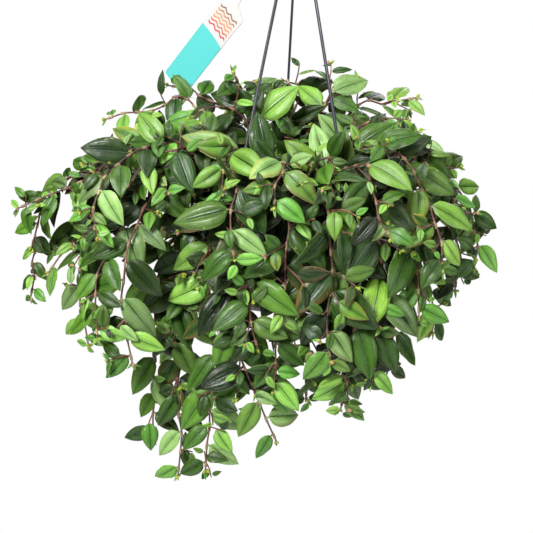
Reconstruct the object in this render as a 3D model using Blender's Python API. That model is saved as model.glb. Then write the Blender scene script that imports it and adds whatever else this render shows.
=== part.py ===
"""Hanging pot of wandering dude (a trailing Tradescantia), in metres, +Z up.

The origin is the point of the hook that bears on whatever the pot hangs from.
The front of the plant faces -Y. Every shoot is one body: a jointed stem with
its leaves grown out of the sides of its nodes. Shoots are rooted in a disc of
soil, inside a thin plastic pot that three clip-on strands carry.
"""
import math
import random

import bmesh
import bpy
from mathutils import Matrix, Vector
from mathutils.bvhtree import BVHTree

SEAT_GAP = 0.0003              # between pieces that touch

# Pot: outer radii and heights below the rim.
POT_X = -0.0095                # the pot's axis hangs a little to one side of the hook
RIM_Z = -0.335
RIM_RADIUS = 0.0775
RIM_LIP = 0.004                # height of the flange at the rim
WALL_TOP_RADIUS = 0.0740
WALL_LOW_RADIUS = 0.0655
WALL_LOW_DEPTH = 0.080         # where the wall turns in towards the base
BASE_RADIUS = 0.0400
POT_HEIGHT = 0.117
BASE_LIFT = 0.0020             # the middle of the base stands this far above its foot ring
FOOT_WIDTH = 0.007
WALL = 0.0012
CENTRE_DRAIN_RADIUS = 0.005
DRAIN_RADIUS = 0.0035
DRAIN_CIRCLE = 0.020
DRAINS = 6
POT_SIDES = 36

# Ears inside the rim, one to a strand.
STRAND_ANGLES = {"right": 335, "back": 95, "left": 215}
EAR_REACH = 0.0095             # how far an ear stands in from the wall
EAR_WIDTH = 0.013
EAR_THICK = 0.0022
EAR_DROP = 0.0008              # its top lies this far below the rim
EAR_RADIUS = 0.0665            # centre of the slot that takes the strand
SLOT = (0.0032, 0.0042, 0.0066)  # radial, tangential and upright, which goes right through

# Hanger.
HUB_Z = -0.0475
HUB_RADIUS = 0.0095
HUB_DISC = 0.0035              # thickness of the disc that the strands hang in
HUB_HEIGHT = 0.0095
HUB_RING = 0.0062              # where the strands pass its underside
HUB_BORE = 0.0006              # fine core hole left by the moulding pin
HOOK_RADIUS = 0.0135           # centre line of the hook's bend
HOOK_WIRE = 0.0021             # half the thickness of its rod
HOOK_START, HOOK_END = -40, 195  # degrees round the bend, from the stem to the lip
HOOK_STEPS = 13
HOOK_SINK = 0.003              # how far its foot is sunk in the hub
STRAND_SIZE = (0.0034, 0.0026)   # radial and tangential
SLOT_EASE = 0.00035            # clearance of a strand in its slot
HEAD_SIZE = (0.0040, 0.0052)     # the head above the hub's disc
HEAD_HEIGHT = 0.0030
BARB_SIZE = (0.0066, 0.0026)     # the barb under the ear, tangential and radial
BARB_HEIGHT = 0.003

# Soil.
SOIL_DEPTH = 0.013             # its top lies this far below the rim
SOIL_FLOOR = 0.105             # and its bottom this far
SOIL_FLOOR_RADIUS = 0.030
SOIL_TURN_RADIUS = 0.052       # halfway up the pot's rounded turn

# Label: a printed card on a strap, whose band goes round the left strand.
CARD_WIDTH = 0.047
CARD_LENGTH = 0.110
CARD_THICK = 0.0006
STRAP_WIDTH = 0.0035
STRAP_LENGTH = 0.090
BAND_INNER = 0.0027            # the strap's band round the strand
BAND_WALL = 0.0008
BAND_HEIGHT = 0.005
LABEL_DROP = 0.022             # of the band below the hub, along the strand
LABEL_DOWN = Vector((-0.606, 0.330, -0.724))     # the way the card hangs from its band
LABEL_ACROSS = Vector((0.43, -0.61, -0.64))      # and roughly its width

# Stems.
STEM_RADIUS = (0.0014, 0.0009)   # at the root and at the tip
NODE_LENGTH = 0.0040             # stretch of stem that a leaf's sheath takes up
NODE_SPACING = 0.38              # over the length of the shoot's leaves
ZIGZAG = 0.0014                  # how far each node stands off the stem's line
SWAY = 0.006                     # how far a stem wanders from its curve
ROOT_CLEAR = 0.024               # bare stem above the soil
ROOT_STRAY = 0.012               # how far a root may move in when its first place is taken
STEM_STRAY = 0.012               # and how far the rest of a stem may
CLIMB_LEAN = 0.22                # how far out it climbs, over the way to where it bends over
BUD_LENGTH = 0.008               # the pointed end of a stem past its last node
STEM_CLEAR = 0.0034              # room kept round each stem
ROOT_LIFT = 0.0016               # that room starts this far above the soil
STEM_TRIES = 60
ROUTE_STEPS = 60

# Leaves.
NECK_REACH = 0.0034              # from the stem's middle to the neck, where the blade starts
NECK_HALF = 0.0009               # half the neck's width
NECK_FOLD = 0.4                  # rise of the neck's edges, over half its width
NECK_GAP = 0.0002                # clearance between a blade and its own stem
LEAF_THICK = 0.0010              # at the keel
LEAF_SIZE = (0.70, 1.08)         # of the shoot's own leaf length
LEAF_SHAPE = (0.50, 0.63)        # width over length
YOUNG_LOSS = 0.35                # how much smaller the youngest leaf of a shoot is
LEAF_LEAN = (32, 80)             # degrees between a leaf and the stem ahead of it
LEAF_ARCH = (0.06, 0.28)         # how far the tip drops, over the leaf's length
LEAF_DROOP = 0.25                # pull of its weight on the way it points
LEAF_WANDER = 0.30               # spread of the ways leaves point
LEAF_TWIST = 0.42                # spread of the ways they face
LEAF_FOLD = 0.18                 # rise of the edges above the midrib, over half the width
LEAF_RINGS = (0.32, 0.68)        # where the blade is measured across, over its length
LEAF_SHOULDER = 0.12             # where its room is already wide
SHEATH_REACH = 0.0024            # half the room that its sheath takes at the node
LEAF_GAP = 0.0006                # clearance kept round each leaf
LEAF_TRIES = ((12, 1.0), (12, 0.82), (12, 0.64))   # how many tries at what size
HEART = Vector((0, 0.01, -0.10))  # the middle of the plant, from the middle of the rim
FACE_SPLIT = 0.06                # how far behind that leaves start to face the back
FACE_OUT = Vector((0.45, 0.18, 0.45))   # pull of its place to the side, to the front or back, and up
FACE_UP = 0.25                   # and of the light on the way it faces
SEED = 12

# Each shoot: where its tip ends, where it bends over, how high it first climbs, the
# radius at which it is rooted and the length of its leaves. Places are measured from
# the middle of the rim.
SHOOTS = [
    ((-0.272, -0.030, -0.098), (-0.268, -0.020, 0.055), 0.098, 0.050, 0.036),
    ((-0.264, -0.060, -0.010), (-0.180, -0.040, 0.060), 0.090, 0.042, 0.040),
    ((-0.186, 0.030, 0.078), (-0.140, 0.030, 0.120), 0.115, 0.038, 0.040),
    ((-0.130, 0.030, 0.112), (-0.095, 0.030, 0.125), 0.110, 0.026, 0.044),
    ((-0.212, -0.050, -0.150), (-0.226, -0.040, 0.050), 0.080, 0.055, 0.046),
    ((-0.160, -0.095, -0.165), (-0.180, -0.095, 0.040), 0.065, 0.058, 0.050),
    ((-0.146, -0.030, -0.264), (-0.140, -0.040, 0.020), 0.055, 0.061, 0.050),
    ((-0.118, -0.062, -0.270), (-0.128, -0.070, -0.010), 0.060, 0.058, 0.048),
    ((-0.080, -0.080, -0.274), (-0.092, -0.098, -0.020), 0.050, 0.061, 0.048),
    ((-0.118, 0.045, -0.225), (-0.120, 0.060, 0.000), 0.050, 0.061, 0.044),
    ((-0.008, -0.075, -0.254), (-0.085, -0.135, -0.130), 0.060, 0.061, 0.050),
    ((-0.008, -0.098, -0.198), (-0.010, -0.132, -0.020), 0.055, 0.061, 0.052),
    ((-0.030, -0.100, -0.150), (-0.044, -0.120, 0.000), 0.045, 0.056, 0.050),
    ((-0.044, -0.140, -0.066), (-0.085, -0.110, 0.045), 0.070, 0.048, 0.056),
    ((0.046, -0.110, -0.165), (0.036, -0.135, 0.000), 0.050, 0.061, 0.052),
    ((0.056, -0.088, -0.200), (0.070, -0.110, -0.010), 0.055, 0.061, 0.050),
    ((0.084, -0.098, -0.180), (0.098, -0.110, 0.010), 0.065, 0.053, 0.050),
    ((0.106, -0.050, -0.170), (0.120, -0.065, 0.010), 0.060, 0.060, 0.048),
    ((0.120, -0.088, -0.122), (0.140, -0.085, 0.020), 0.070, 0.053, 0.050),
    ((0.148, 0.004, -0.130), (0.155, -0.005, 0.030), 0.065, 0.060, 0.046),
    ((0.174, -0.022, -0.098), (0.174, -0.020, 0.044), 0.075, 0.052, 0.042),
    ((0.190, -0.032, -0.064), (0.190, -0.030, 0.048), 0.078, 0.046, 0.042),
    ((0.176, -0.056, -0.016), (0.150, -0.055, 0.064), 0.080, 0.040, 0.042),
    ((0.142, -0.112, -0.062), (0.152, -0.100, 0.045), 0.070, 0.052, 0.048),
    ((0.094, -0.145, -0.034), (0.087, -0.110, 0.050), 0.064, 0.044, 0.050),
    ((0.150, 0.010, 0.046), (0.120, 0.000, 0.096), 0.092, 0.036, 0.044),
    ((0.126, 0.045, 0.100), (0.100, 0.040, 0.115), 0.105, 0.026, 0.046),
    ((0.098, -0.098, 0.016), (0.088, -0.068, 0.066), 0.068, 0.040, 0.052),
    ((0.060, 0.030, 0.118), (0.048, 0.026, 0.125), 0.100, 0.020, 0.048),
    ((0.004, 0.044, 0.126), (0.006, 0.034, 0.122), 0.100, 0.012, 0.048),
    ((-0.014, 0.004, 0.086), (-0.010, 0.012, 0.104), 0.090, 0.018, 0.048),
    ((-0.056, 0.000, 0.116), (-0.044, -0.002, 0.122), 0.100, 0.018, 0.050),
    ((-0.104, -0.014, 0.086), (-0.080, -0.006, 0.112), 0.100, 0.026, 0.048),
    ((-0.070, -0.112, 0.010), (-0.062, -0.086, 0.048), 0.055, 0.031, 0.050),
    ((-0.010, -0.130, -0.002), (-0.012, -0.098, 0.042), 0.052, 0.038, 0.048),
    ((0.046, -0.118, 0.004), (0.038, -0.088, 0.044), 0.052, 0.031, 0.050),
    ((-0.148, -0.090, 0.012), (-0.128, -0.070, 0.072), 0.070, 0.040, 0.046),
    ((-0.192, -0.100, -0.034), (-0.186, -0.090, 0.064), 0.090, 0.046, 0.046),
    ((-0.128, 0.120, -0.165), (-0.130, 0.120, 0.020), 0.065, 0.060, 0.048),
    ((0.004, 0.130, -0.172), (0.002, 0.155, 0.030), 0.065, 0.060, 0.048),
    ((0.104, 0.124, -0.135), (0.112, 0.130, 0.030), 0.065, 0.060, 0.048),
    ((-0.146, 0.140, 0.020), (-0.115, 0.108, 0.090), 0.090, 0.040, 0.046),
    ((0.128, 0.136, 0.028), (0.100, 0.102, 0.092), 0.090, 0.038, 0.046),
    ((0.020, 0.120, 0.084), (0.016, 0.086, 0.110), 0.095, 0.024, 0.048),
    ((-0.060, 0.180, -0.050), (-0.054, 0.150, 0.060), 0.080, 0.048, 0.048),
    ((0.068, 0.184, -0.036), (0.060, 0.152, 0.065), 0.080, 0.048, 0.048),
    ((-0.212, 0.100, -0.056), (-0.206, 0.086, 0.060), 0.080, 0.052, 0.046),
    ((0.168, 0.104, -0.066), (0.166, 0.094, 0.050), 0.075, 0.052, 0.046),
    ((-0.046, -0.088, -0.196), (-0.044, -0.100, -0.010), 0.050, 0.040, 0.052),
    ((0.022, -0.084, -0.202), (0.018, -0.118, -0.010), 0.050, 0.055, 0.052),
    ((0.052, -0.066, -0.196), (0.066, -0.098, -0.010), 0.050, 0.040, 0.052),
    ((-0.238, -0.034, -0.072), (-0.205, -0.046, 0.045), 0.075, 0.061, 0.046),
    ((-0.188, -0.088, -0.130), (-0.190, -0.084, 0.040), 0.070, 0.055, 0.048),
]


# ---------------------------------------------------------------- helpers

def clear_scene():
    for thing in list(bpy.data.objects):
        bpy.data.objects.remove(thing)


def material(name, colour, roughness, metallic=0.0):
    made = bpy.data.materials.new(name)
    made.use_nodes = True
    shader = made.node_tree.nodes["Principled BSDF"]
    shader.inputs["Base Color"].default_value = (*colour, 1)
    shader.inputs["Roughness"].default_value = roughness
    shader.inputs["Metallic"].default_value = metallic
    return made


def new_object(name, mesh, skin, smooth_degrees=None):
    mesh.materials.append(skin)
    if smooth_degrees is not None:
        mesh.shade_smooth()
        mesh.set_sharp_from_angle(angle=math.radians(smooth_degrees))
    made = bpy.data.objects.new(name, mesh)
    bpy.context.scene.collection.objects.link(made)
    return made


def mesh_from(name, points, faces):
    mesh = bpy.data.meshes.new(name)
    mesh.from_pydata([tuple(p) for p in points], [], faces)
    mesh.validate()
    return mesh


def turned(name, profile, sides, centre, closed=True):
    """Points of (radius, height), anticlockwise, turned round a vertical axis.

    A closed profile makes a ring. An open one, listed from the bottom up, makes a solid with flat ends.
    """
    points, faces, count = [], [], len(profile)
    for side in range(sides):
        turn = 2 * math.pi * side / sides
        for radius, height in profile:
            points.append(centre + Vector((radius * math.cos(turn), radius * math.sin(turn), height)))
    for side in range(sides):
        here, there = side * count, (side + 1) % sides * count
        for i in range(count if closed else count - 1):
            j = (i + 1) % count
            faces.append((here + i, there + i, there + j, here + j))
    if not closed:
        faces.append(tuple(side * count for side in reversed(range(sides))))
        faces.append(tuple(side * count + count - 1 for side in range(sides)))
    return mesh_from(name, points, faces)


def swept(name, route, section, up_hint):
    """A section of (side, up) points carried along a route, with flat ends."""
    points, faces, count = [], [], len(section)
    for i, place in enumerate(route):
        before, after = route[max(i - 1, 0)], route[min(i + 1, len(route) - 1)]
        along = (after - before).normalized()
        side = along.cross(up_hint).normalized()
        up = side.cross(along)
        points += [place + side * a + up * b for a, b in section]
    for i in range(len(route) - 1):
        for k in range(count):
            j = (k + 1) % count
            faces.append((i * count + k, i * count + j, (i + 1) * count + j, (i + 1) * count + k))
    faces.append(tuple(reversed(range(count))))
    faces.append(tuple(range((len(route) - 1) * count, len(route) * count)))
    return mesh_from(name, points, faces)


def rounded_section(width, height, corner):
    """An eight-point section: a rectangle with its corners cut."""
    a, b = width / 2, height / 2
    return [(a, -b + corner), (a, b - corner), (a - corner, b), (-a + corner, b),
            (-a, b - corner), (-a, -b + corner), (-a + corner, -b), (a - corner, -b)]


def boolean(target, tool, operation):
    change = target.modifiers.new(operation.lower(), "BOOLEAN")
    change.object = tool
    change.operation = operation
    tool.hide_render = True
    tool.display_type = "WIRE"


def finished(shape, name):
    """The mesh of a bmesh, which is freed."""
    mesh = bpy.data.meshes.new(name)
    shape.to_mesh(mesh)
    shape.free()
    return mesh


def box_tool(name, size, place, turn_degrees, skin):
    shape = bmesh.new()
    bmesh.ops.create_cube(shape, size=1, matrix=Matrix.Diagonal((*size, 1)))
    made = new_object(name, finished(shape, name), skin)
    made.location = place
    made.rotation_euler.z = math.radians(turn_degrees)
    return made


def round_tool(name, radius, depth, place, skin):
    shape = bmesh.new()
    bmesh.ops.create_cone(shape, cap_ends=True, segments=12, radius1=radius, radius2=radius, depth=depth)
    made = new_object(name, finished(shape, name), skin)
    made.location = place
    return made


# ---------------------------------------------------------------- pot, soil and hanger

RIM_CENTRE = Vector((POT_X, 0, RIM_Z))


def round_rim(radius, degrees, height):
    """A point at a radius and an angle round the pot, at a height from the rim."""
    turn = math.radians(degrees)
    return RIM_CENTRE + Vector((radius * math.cos(turn), radius * math.sin(turn), height))


def pot_profile():
    """Anticlockwise section of the wall: up the outside, over the rim, down the inside."""
    low, depth = POT_HEIGHT, WALL_LOW_DEPTH
    outside = [(BASE_RADIUS, -low)]
    for step in range(1, 5):     # the rounded turn from base to wall
        turn = math.radians(-90 + 90 * step / 5)
        outside.append((BASE_RADIUS + (WALL_LOW_RADIUS - BASE_RADIUS) * math.cos(turn),
                        -depth + (low - depth) * math.sin(turn)))
    outside += [(WALL_LOW_RADIUS, -depth), (WALL_TOP_RADIUS, -RIM_LIP), (RIM_RADIUS, -RIM_LIP + 0.0006),
                (RIM_RADIUS, -0.0006), (RIM_RADIUS - 0.0008, 0)]
    inside = [(WALL_TOP_RADIUS - WALL, 0), (WALL_LOW_RADIUS - WALL, -depth)]
    for step in range(4, 0, -1):
        turn = math.radians(-90 + 90 * step / 5)
        inside.append((BASE_RADIUS - WALL + (WALL_LOW_RADIUS - BASE_RADIUS) * math.cos(turn),
                       -depth + (low - depth - BASE_LIFT - WALL) * math.sin(turn)))
    floor = -low + BASE_LIFT
    inside += [(CENTRE_DRAIN_RADIUS, floor + WALL), (CENTRE_DRAIN_RADIUS, floor),
               (BASE_RADIUS - FOOT_WIDTH, floor), (BASE_RADIUS - FOOT_WIDTH + 0.0008, -low)]
    return outside + inside


def make_pot(skin):
    pot = new_object("pot", turned("pot", pot_profile(), POT_SIDES, RIM_CENTRE), skin, 35)
    ear_out = WALL_TOP_RADIUS - WALL / 2
    ear_in = WALL_TOP_RADIUS - WALL - EAR_REACH
    ear = (ear_out - ear_in, EAR_WIDTH, EAR_THICK)
    height = -EAR_THICK / 2 - EAR_DROP
    for name, angle in STRAND_ANGLES.items():
        place = round_rim((ear_out + ear_in) / 2, angle, height)
        boolean(pot, box_tool("ear_" + name, ear, place, angle, skin), "UNION")
        place = round_rim(EAR_RADIUS, angle, height)
        boolean(pot, box_tool("slot_" + name, SLOT, place, angle, skin), "DIFFERENCE")
    for drain in range(DRAINS):
        place = round_rim(DRAIN_CIRCLE, 360 * drain / DRAINS, -POT_HEIGHT)
        boolean(pot, round_tool(f"drain_{drain}", DRAIN_RADIUS, 0.02, place, skin), "DIFFERENCE")
    return pot


def wall_inside(depth):
    """Inner radius of the pot at a depth below the rim."""
    share = min(depth / WALL_LOW_DEPTH, 1)
    return WALL_TOP_RADIUS - WALL + (WALL_LOW_RADIUS - WALL_TOP_RADIUS) * share


def make_soil(skin):
    """The compost, which fills the pot to just under its ears."""
    top = wall_inside(SOIL_DEPTH) - SEAT_GAP
    low = wall_inside(WALL_LOW_DEPTH) - SEAT_GAP
    turn_in = WALL_LOW_DEPTH + (SOIL_FLOOR - WALL_LOW_DEPTH) / 2
    profile = [(SOIL_FLOOR_RADIUS, -SOIL_FLOOR), (SOIL_TURN_RADIUS, -turn_in),
               (low, -WALL_LOW_DEPTH), (top, -SOIL_DEPTH)]
    return new_object("soil", turned("soil", profile, POT_SIDES, RIM_CENTRE, closed=False), skin, 40)


def strand_ends(name):
    """Where a strand passes the hub's underside and the rim, with its radial and tangential ways."""
    turn = math.radians(STRAND_ANGLES[name])
    radial = Vector((math.cos(turn), math.sin(turn), 0))
    return (Vector((0, 0, HUB_Z)) + radial * HUB_RING, round_rim(EAR_RADIUS, STRAND_ANGLES[name], 0),
            radial, Vector((-radial.y, radial.x, 0)))


def stacked(name, stages, radial, tangent):
    """A closed body of level sections, listed from the top: (middle, radial size, tangential size)."""
    points, faces = [], []
    for middle, deep, wide in stages:
        for a, b in rounded_section(deep, wide, min(deep, wide) * 0.25):
            points.append(middle + radial * a + tangent * b)
    for i in range(len(stages) - 1):
        for k in range(8):
            j = (k + 1) % 8
            faces.append((i * 8 + j, i * 8 + k, (i + 1) * 8 + k, (i + 1) * 8 + j))
    faces.append(tuple(range(8)))
    faces.append(tuple(reversed(range(len(points) - 8, len(points)))))
    return mesh_from(name, points, faces)


def make_strand(name, skin):
    """A moulded strand: a head that rests on the hub, a long shank and a barb snapped in under its ear."""
    hub, eye, radial, tangent = strand_ends(name)
    line = (eye - hub) / (hub.z - eye.z)        # for each metre down
    seat = hub - line * (HUB_DISC + SEAT_GAP)
    deep, wide = STRAND_SIZE
    neck = deep * 0.72
    under = eye - Vector((0, 0, EAR_DROP + EAR_THICK + SEAT_GAP))
    tall, broad = BARB_SIZE
    stages = [(seat - line * HEAD_HEIGHT, deep * 0.7, wide * 0.8),
              (seat - line * HEAD_HEIGHT * 0.5, HEAD_SIZE[0], HEAD_SIZE[1]),
              (seat, HEAD_SIZE[0], HEAD_SIZE[1]), (seat, deep, wide),
              (eye - line * 0.006, deep, wide), (eye + Vector((0, 0, 0.0008)), neck, wide),
              (under, neck, wide), (under, broad, tall),
              (under - Vector((0, 0, BARB_HEIGHT * 0.4)), broad, tall),
              (under - Vector((0, 0, BARB_HEIGHT)), broad * 0.6, tall * 0.3)]
    return new_object("strand_" + name, stacked("strand", stages, radial, tangent), skin, 40)


def make_hook(skin):
    """The hub that the strands hang in and the open hook above it, in one moulding."""
    top = HUB_Z + HUB_HEIGHT
    middle = Vector((0, 0, HOOK_WIRE - HOOK_RADIUS))     # so that the inside of the bend is at the origin
    eighths = [math.pi * k / 4 for k in range(8)]
    section = [(HOOK_WIRE * math.cos(turn), HOOK_WIRE * math.sin(turn)) for turn in eighths]
    route = [Vector((0, 0, top - HOOK_SINK)), Vector((0, 0, top + HOOK_SINK))]
    for step in range(HOOK_STEPS + 1):       # from the stem, over the top and down to the open lip
        turn = math.radians(HOOK_START + (HOOK_END - HOOK_START) * step / HOOK_STEPS)
        route.append(middle + Vector((HOOK_RADIUS * math.cos(turn), 0, HOOK_RADIUS * math.sin(turn))))
    wire = new_object("hook_wire", swept("hook_wire", route, section, Vector((0, 1, 0))), skin)
    profile = [(HUB_RADIUS - 0.0008, HUB_Z), (HUB_RADIUS, HUB_Z + 0.0008), (HUB_RADIUS, HUB_Z + HUB_DISC),
               (HOOK_WIRE + 0.0008, HUB_Z + HUB_DISC), (HOOK_WIRE + 0.0004, top),
               (HUB_BORE, top), (HUB_BORE, HUB_Z)]
    hub = new_object("hook", turned("hook", profile, 24, Vector()), skin, 40)
    boolean(hub, wire, "UNION")
    for name in STRAND_ANGLES:
        low, eye, radial, tangent = strand_ends(name)
        line = (eye - low) / (low.z - eye.z)
        deep, wide = (size + 2 * SLOT_EASE for size in STRAND_SIZE)
        stages = [(low - line * 2 * HUB_DISC, deep, wide), (low + line * HUB_DISC, deep, wide)]
        slot = new_object("hub_slot_" + name, stacked("slot", stages, radial, tangent), skin)
        boolean(hub, slot, "DIFFERENCE")
    return hub


def make_label(skin):
    """A card on a strap, whose band goes round the left strand."""
    top, eye, _, _ = strand_ends("left")
    line = (eye - top).normalized()
    centre = top + line * LABEL_DROP
    down = LABEL_DOWN.normalized()
    across = (LABEL_ACROSS - down * LABEL_ACROSS.dot(down)).normalized()
    face = across.cross(down)
    out = (down - line * down.dot(line)).normalized()
    start = centre + out * (BAND_INNER + BAND_WALL * 0.7)
    half, strap = CARD_WIDTH / 2, STRAP_WIDTH / 2
    outline = [(0, -strap), (STRAP_LENGTH - 0.006, -strap), (STRAP_LENGTH, -half + 0.003),
               (STRAP_LENGTH + 0.003, -half), (STRAP_LENGTH + CARD_LENGTH, -half),
               (STRAP_LENGTH + CARD_LENGTH, half), (STRAP_LENGTH + 0.003, half),
               (STRAP_LENGTH, half - 0.003), (STRAP_LENGTH - 0.006, strap), (0, strap)]
    shape = bmesh.new()
    corners = [shape.verts.new(start + down * a + across * b - face * CARD_THICK / 2) for a, b in outline]
    sheet = shape.faces.new(corners)
    grown = bmesh.ops.extrude_face_region(shape, geom=[sheet])
    moved = [v for v in grown["geom"] if isinstance(v, bmesh.types.BMVert)]
    bmesh.ops.translate(shape, verts=moved, vec=face * CARD_THICK)
    bmesh.ops.recalc_face_normals(shape, faces=shape.faces)
    label = new_object("label", finished(shape, "label"), skin)
    outer = BAND_INNER + BAND_WALL
    profile = [(outer, -BAND_HEIGHT / 2), (outer, BAND_HEIGHT / 2),
               (BAND_INNER, BAND_HEIGHT / 2), (BAND_INNER, -BAND_HEIGHT / 2)]
    band = new_object("band", turned("band", profile, 16, Vector()), skin)
    band.location = centre
    band.rotation_euler = line.to_track_quat("Z", "Y").to_euler()
    boolean(label, band, "UNION")
    return label


# ---------------------------------------------------------------- shoots

def search_tree(points, faces):
    """A tree for overlap tests, in millimetres, as in metres the blades are too small for its tolerance."""
    return BVHTree.FromPolygons([p * 1000 for p in points], faces)


def bezier(a, b, c, d, t):
    s = 1 - t
    return a * s ** 3 + b * (3 * s * s * t) + c * (3 * s * t * t) + d * t ** 3


def even_points(curve, spacing, first):
    """The curve's start, then points along it at even spacing, the first of them a bare length up."""
    found, walked, wanted = [curve[0]], 0, first
    for here, there in zip(curve, curve[1:]):
        step = (there - here).length
        while walked + step >= wanted:
            found.append(here.lerp(there, (wanted - walked) / step))
            wanted += spacing
        walked += step
    return found


class Shoot:
    """One shoot: its plan, the places of its nodes, the room it takes up and, in the end, its mesh."""

    def __init__(self, name, plan, dice):
        self.name = name
        self.tip, self.bend, self.lift, self.root_radius, self.leaf_length = plan
        self.dice = dice
        self.points, self.faces = [], []

    def spread(self, reach):
        return Vector([self.dice.uniform(-reach, reach) for _ in range(3)])

    def route(self, stray):
        """A curve from the soil, up and over to the tip, that strays by a share of its freedom."""
        dice = self.dice
        tip, bend = Vector(self.tip), Vector(self.bend)
        angle = math.atan2(bend.y, bend.x) + stray * dice.uniform(-0.5, 0.5)
        radius = self.root_radius - stray * dice.uniform(0, ROOT_STRAY)
        root = Vector((radius * math.cos(angle), radius * math.sin(angle), SEAT_GAP - SOIL_DEPTH))
        climb = root.lerp(bend, CLIMB_LEAN)
        climb.z = self.lift * (1 + stray * dice.uniform(-0.1, 0.3))
        climb += self.spread(STEM_STRAY) * stray
        shift = self.spread(STEM_STRAY) * stray
        waves = [(dice.uniform(1.2, 2.4), dice.uniform(0, math.tau)) for _ in range(3)]
        curve = []
        for i in range(ROUTE_STEPS + 1):
            t = i / ROUTE_STEPS
            sway = Vector([math.sin(math.tau * beats * t + phase) for beats, phase in waves])
            place = bezier(root, climb, bend + shift, tip + shift / 2, t)
            curve.append(RIM_CENTRE + place + sway * (SWAY * min(1, 3 * t)))
        return curve

    def lay_out(self, stray):
        """Sets the places of the root and the nodes, which zigzag as a jointed stem does."""
        places = even_points(self.route(stray), self.leaf_length * NODE_SPACING, ROOT_CLEAR)
        for i in range(2, len(places) - 1):
            side = (places[i + 1] - places[i - 1]).normalized().cross(Vector((0, 0, 1)))
            side = side.normalized() if side.length > 0.1 else Vector((1, 0, 0))
            places[i] += side * (ZIGZAG if i % 2 else -ZIGZAG)
        self.places = places


def leaf_width(u):
    """Half width of a leaf, as a share of its widest, at a share of its length."""
    return math.sin(math.pi * u ** 0.72) ** 0.85


def outward(place):
    """The way leaves at a place turn their faces: out of the plant's front or back, and up to the light."""
    away = place - (RIM_CENTRE + HEART)
    level = away.y + math.copysign(FACE_OUT.y, away.y - FACE_SPLIT)
    away = Vector((FACE_OUT.x * away.x, level, FACE_OUT.z * away.z))
    return (away.normalized() + Vector((0, 0, FACE_UP))).normalized()


class Leaf:
    """A leaf: the node it grows from, which way it lies and how big it is.

    out is the way its node's side faces. A short neck stands out that way and carries the blade.
    """

    def __init__(self, node, out, along, face, length, width, arch):
        self.node, self.out = node, out
        self.along = along.normalized()
        self.face = (face - self.along * face.dot(self.along)).normalized()
        self.side = self.face.cross(self.along)
        self.length, self.width, self.arch = length, width, arch

    def spine(self, u):
        base = self.node + self.out * NECK_REACH
        return base + self.along * (self.length * u) - self.face * (self.length * self.arch * u * u)

    def neck(self, grow=0.0):
        """Keel, right edge and left edge of the neck, where the blade starts."""
        half = NECK_HALF + grow
        rise = self.face * NECK_FOLD
        return [self.spine(0) + way * half for way in (-self.face, self.side + rise, rise - self.side)]

    def ring(self, u, grow=0.0):
        """Keel, right edge and left edge of the blade at a share of its length."""
        half = self.width / 2 * leaf_width(u) + grow
        middle = self.spine(u)
        rise = self.face * (half * LEAF_FOLD + grow)
        return [middle - self.face * (LEAF_THICK + grow), middle + self.side * half + rise,
                middle - self.side * half + rise]

    def rings(self):
        return [self.neck()] + [self.ring(u) for u in LEAF_RINGS]

    def blade_room(self):
        """The blade, slightly swollen, for tests against its own stem."""
        return self.skin([self.neck(NECK_GAP)] + [self.ring(u, NECK_GAP) for u in LEAF_RINGS])

    def full_room(self, with_sheath):
        """The leaf, swollen and full at its base, for tests against other leaves and stems."""
        rings = [self.neck(LEAF_GAP)] + [self.ring(u, LEAF_GAP) for u in (LEAF_SHOULDER, *LEAF_RINGS)]
        if with_sheath:
            ways = (-self.face, self.side, -self.side)
            rings.insert(0, [self.node + way * SHEATH_REACH for way in ways])
        return self.skin(rings)

    def skin(self, rings):
        points = [p for ring in rings for p in ring] + [self.spine(1) + self.along * LEAF_GAP]
        faces = [(2, 1, 0)]
        add_rings(points, faces, 0, len(points) - 1, both=True)
        return search_tree(points, faces)


def add_rings(points, faces, first, tip, skips=(), both=False):
    """Joins rings of three points one to the next, and the last to a tip, but skips some (ring, side).

    Each side is split along its shorter diagonal, which keeps a twisted stem from caving in. A shape
    that is only for overlap tests has both splits, so that it holds whichever the real one takes.
    """
    for low in range(first, tip - 3, 3):
        for k in range(3):
            a, b = low + k, low + (k + 1) % 3
            c, d = b + 3, a + 3
            if (low, k) in skips:
                continue
            short = (points[a] - points[c]).length <= (points[b] - points[d]).length
            if short or both:
                faces += [(a, b, c), (a, c, d)]
            if not short or both:
                faces += [(a, b, d), (b, c, d)]
    faces += [(tip - 3 + k, tip - 3 + (k + 1) % 3, tip) for k in range(3)]


def ring_points(centre, along, lead, radius):
    """Three points round a stem. The side between the first two faces the way of lead."""
    lead = (lead - along * lead.dot(along)).normalized()
    other = along.cross(lead)
    return [centre + (lead * math.cos(turn) + other * math.sin(turn)) * radius
            for turn in (math.radians(-60), math.radians(60), math.radians(180))]


def least_twist(ring, last):
    """How far to turn a ring's numbering so that the stem up to it from the last ring twists least."""
    middle = (sum(ring, Vector()) - sum(last, Vector())) / 3

    def twist(turn):
        return sum((ring[(k + turn) % 3] - last[k] - middle).length_squared for k in range(3))
    return min(range(3), key=twist)


def bud_end(places):
    """Where a stem's pointed bud ends, past its last node."""
    return places[-1] + (places[-1] - places[-2]).normalized() * BUD_LENGTH


def tube_round(places):
    """A loose tube round a stem and its bud, which keeps other stems and leaves off it."""
    places = places + [bud_end(places)]
    points, faces = [], []
    for i, place in enumerate(places):
        along = places[min(i + 1, len(places) - 1)] - places[i - 1] if i else Vector((0, 0, 1))
        ring = ring_points(place, along.normalized(), outward(place), STEM_CLEAR)
        turn = least_twist(ring, points[-3:]) if i else 0
        points += ring[turn:] + ring[:turn]
    points[:3] = [p + Vector((0, 0, ROOT_LIFT)) for p in points[:3]]
    for i in range(len(places) - 1):
        for k in range(3):
            j = (k + 1) % 3
            faces.append((3 * i + k, 3 * i + j, 3 * i + 3 + j, 3 * i + 3 + k))
    return points, faces


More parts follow.
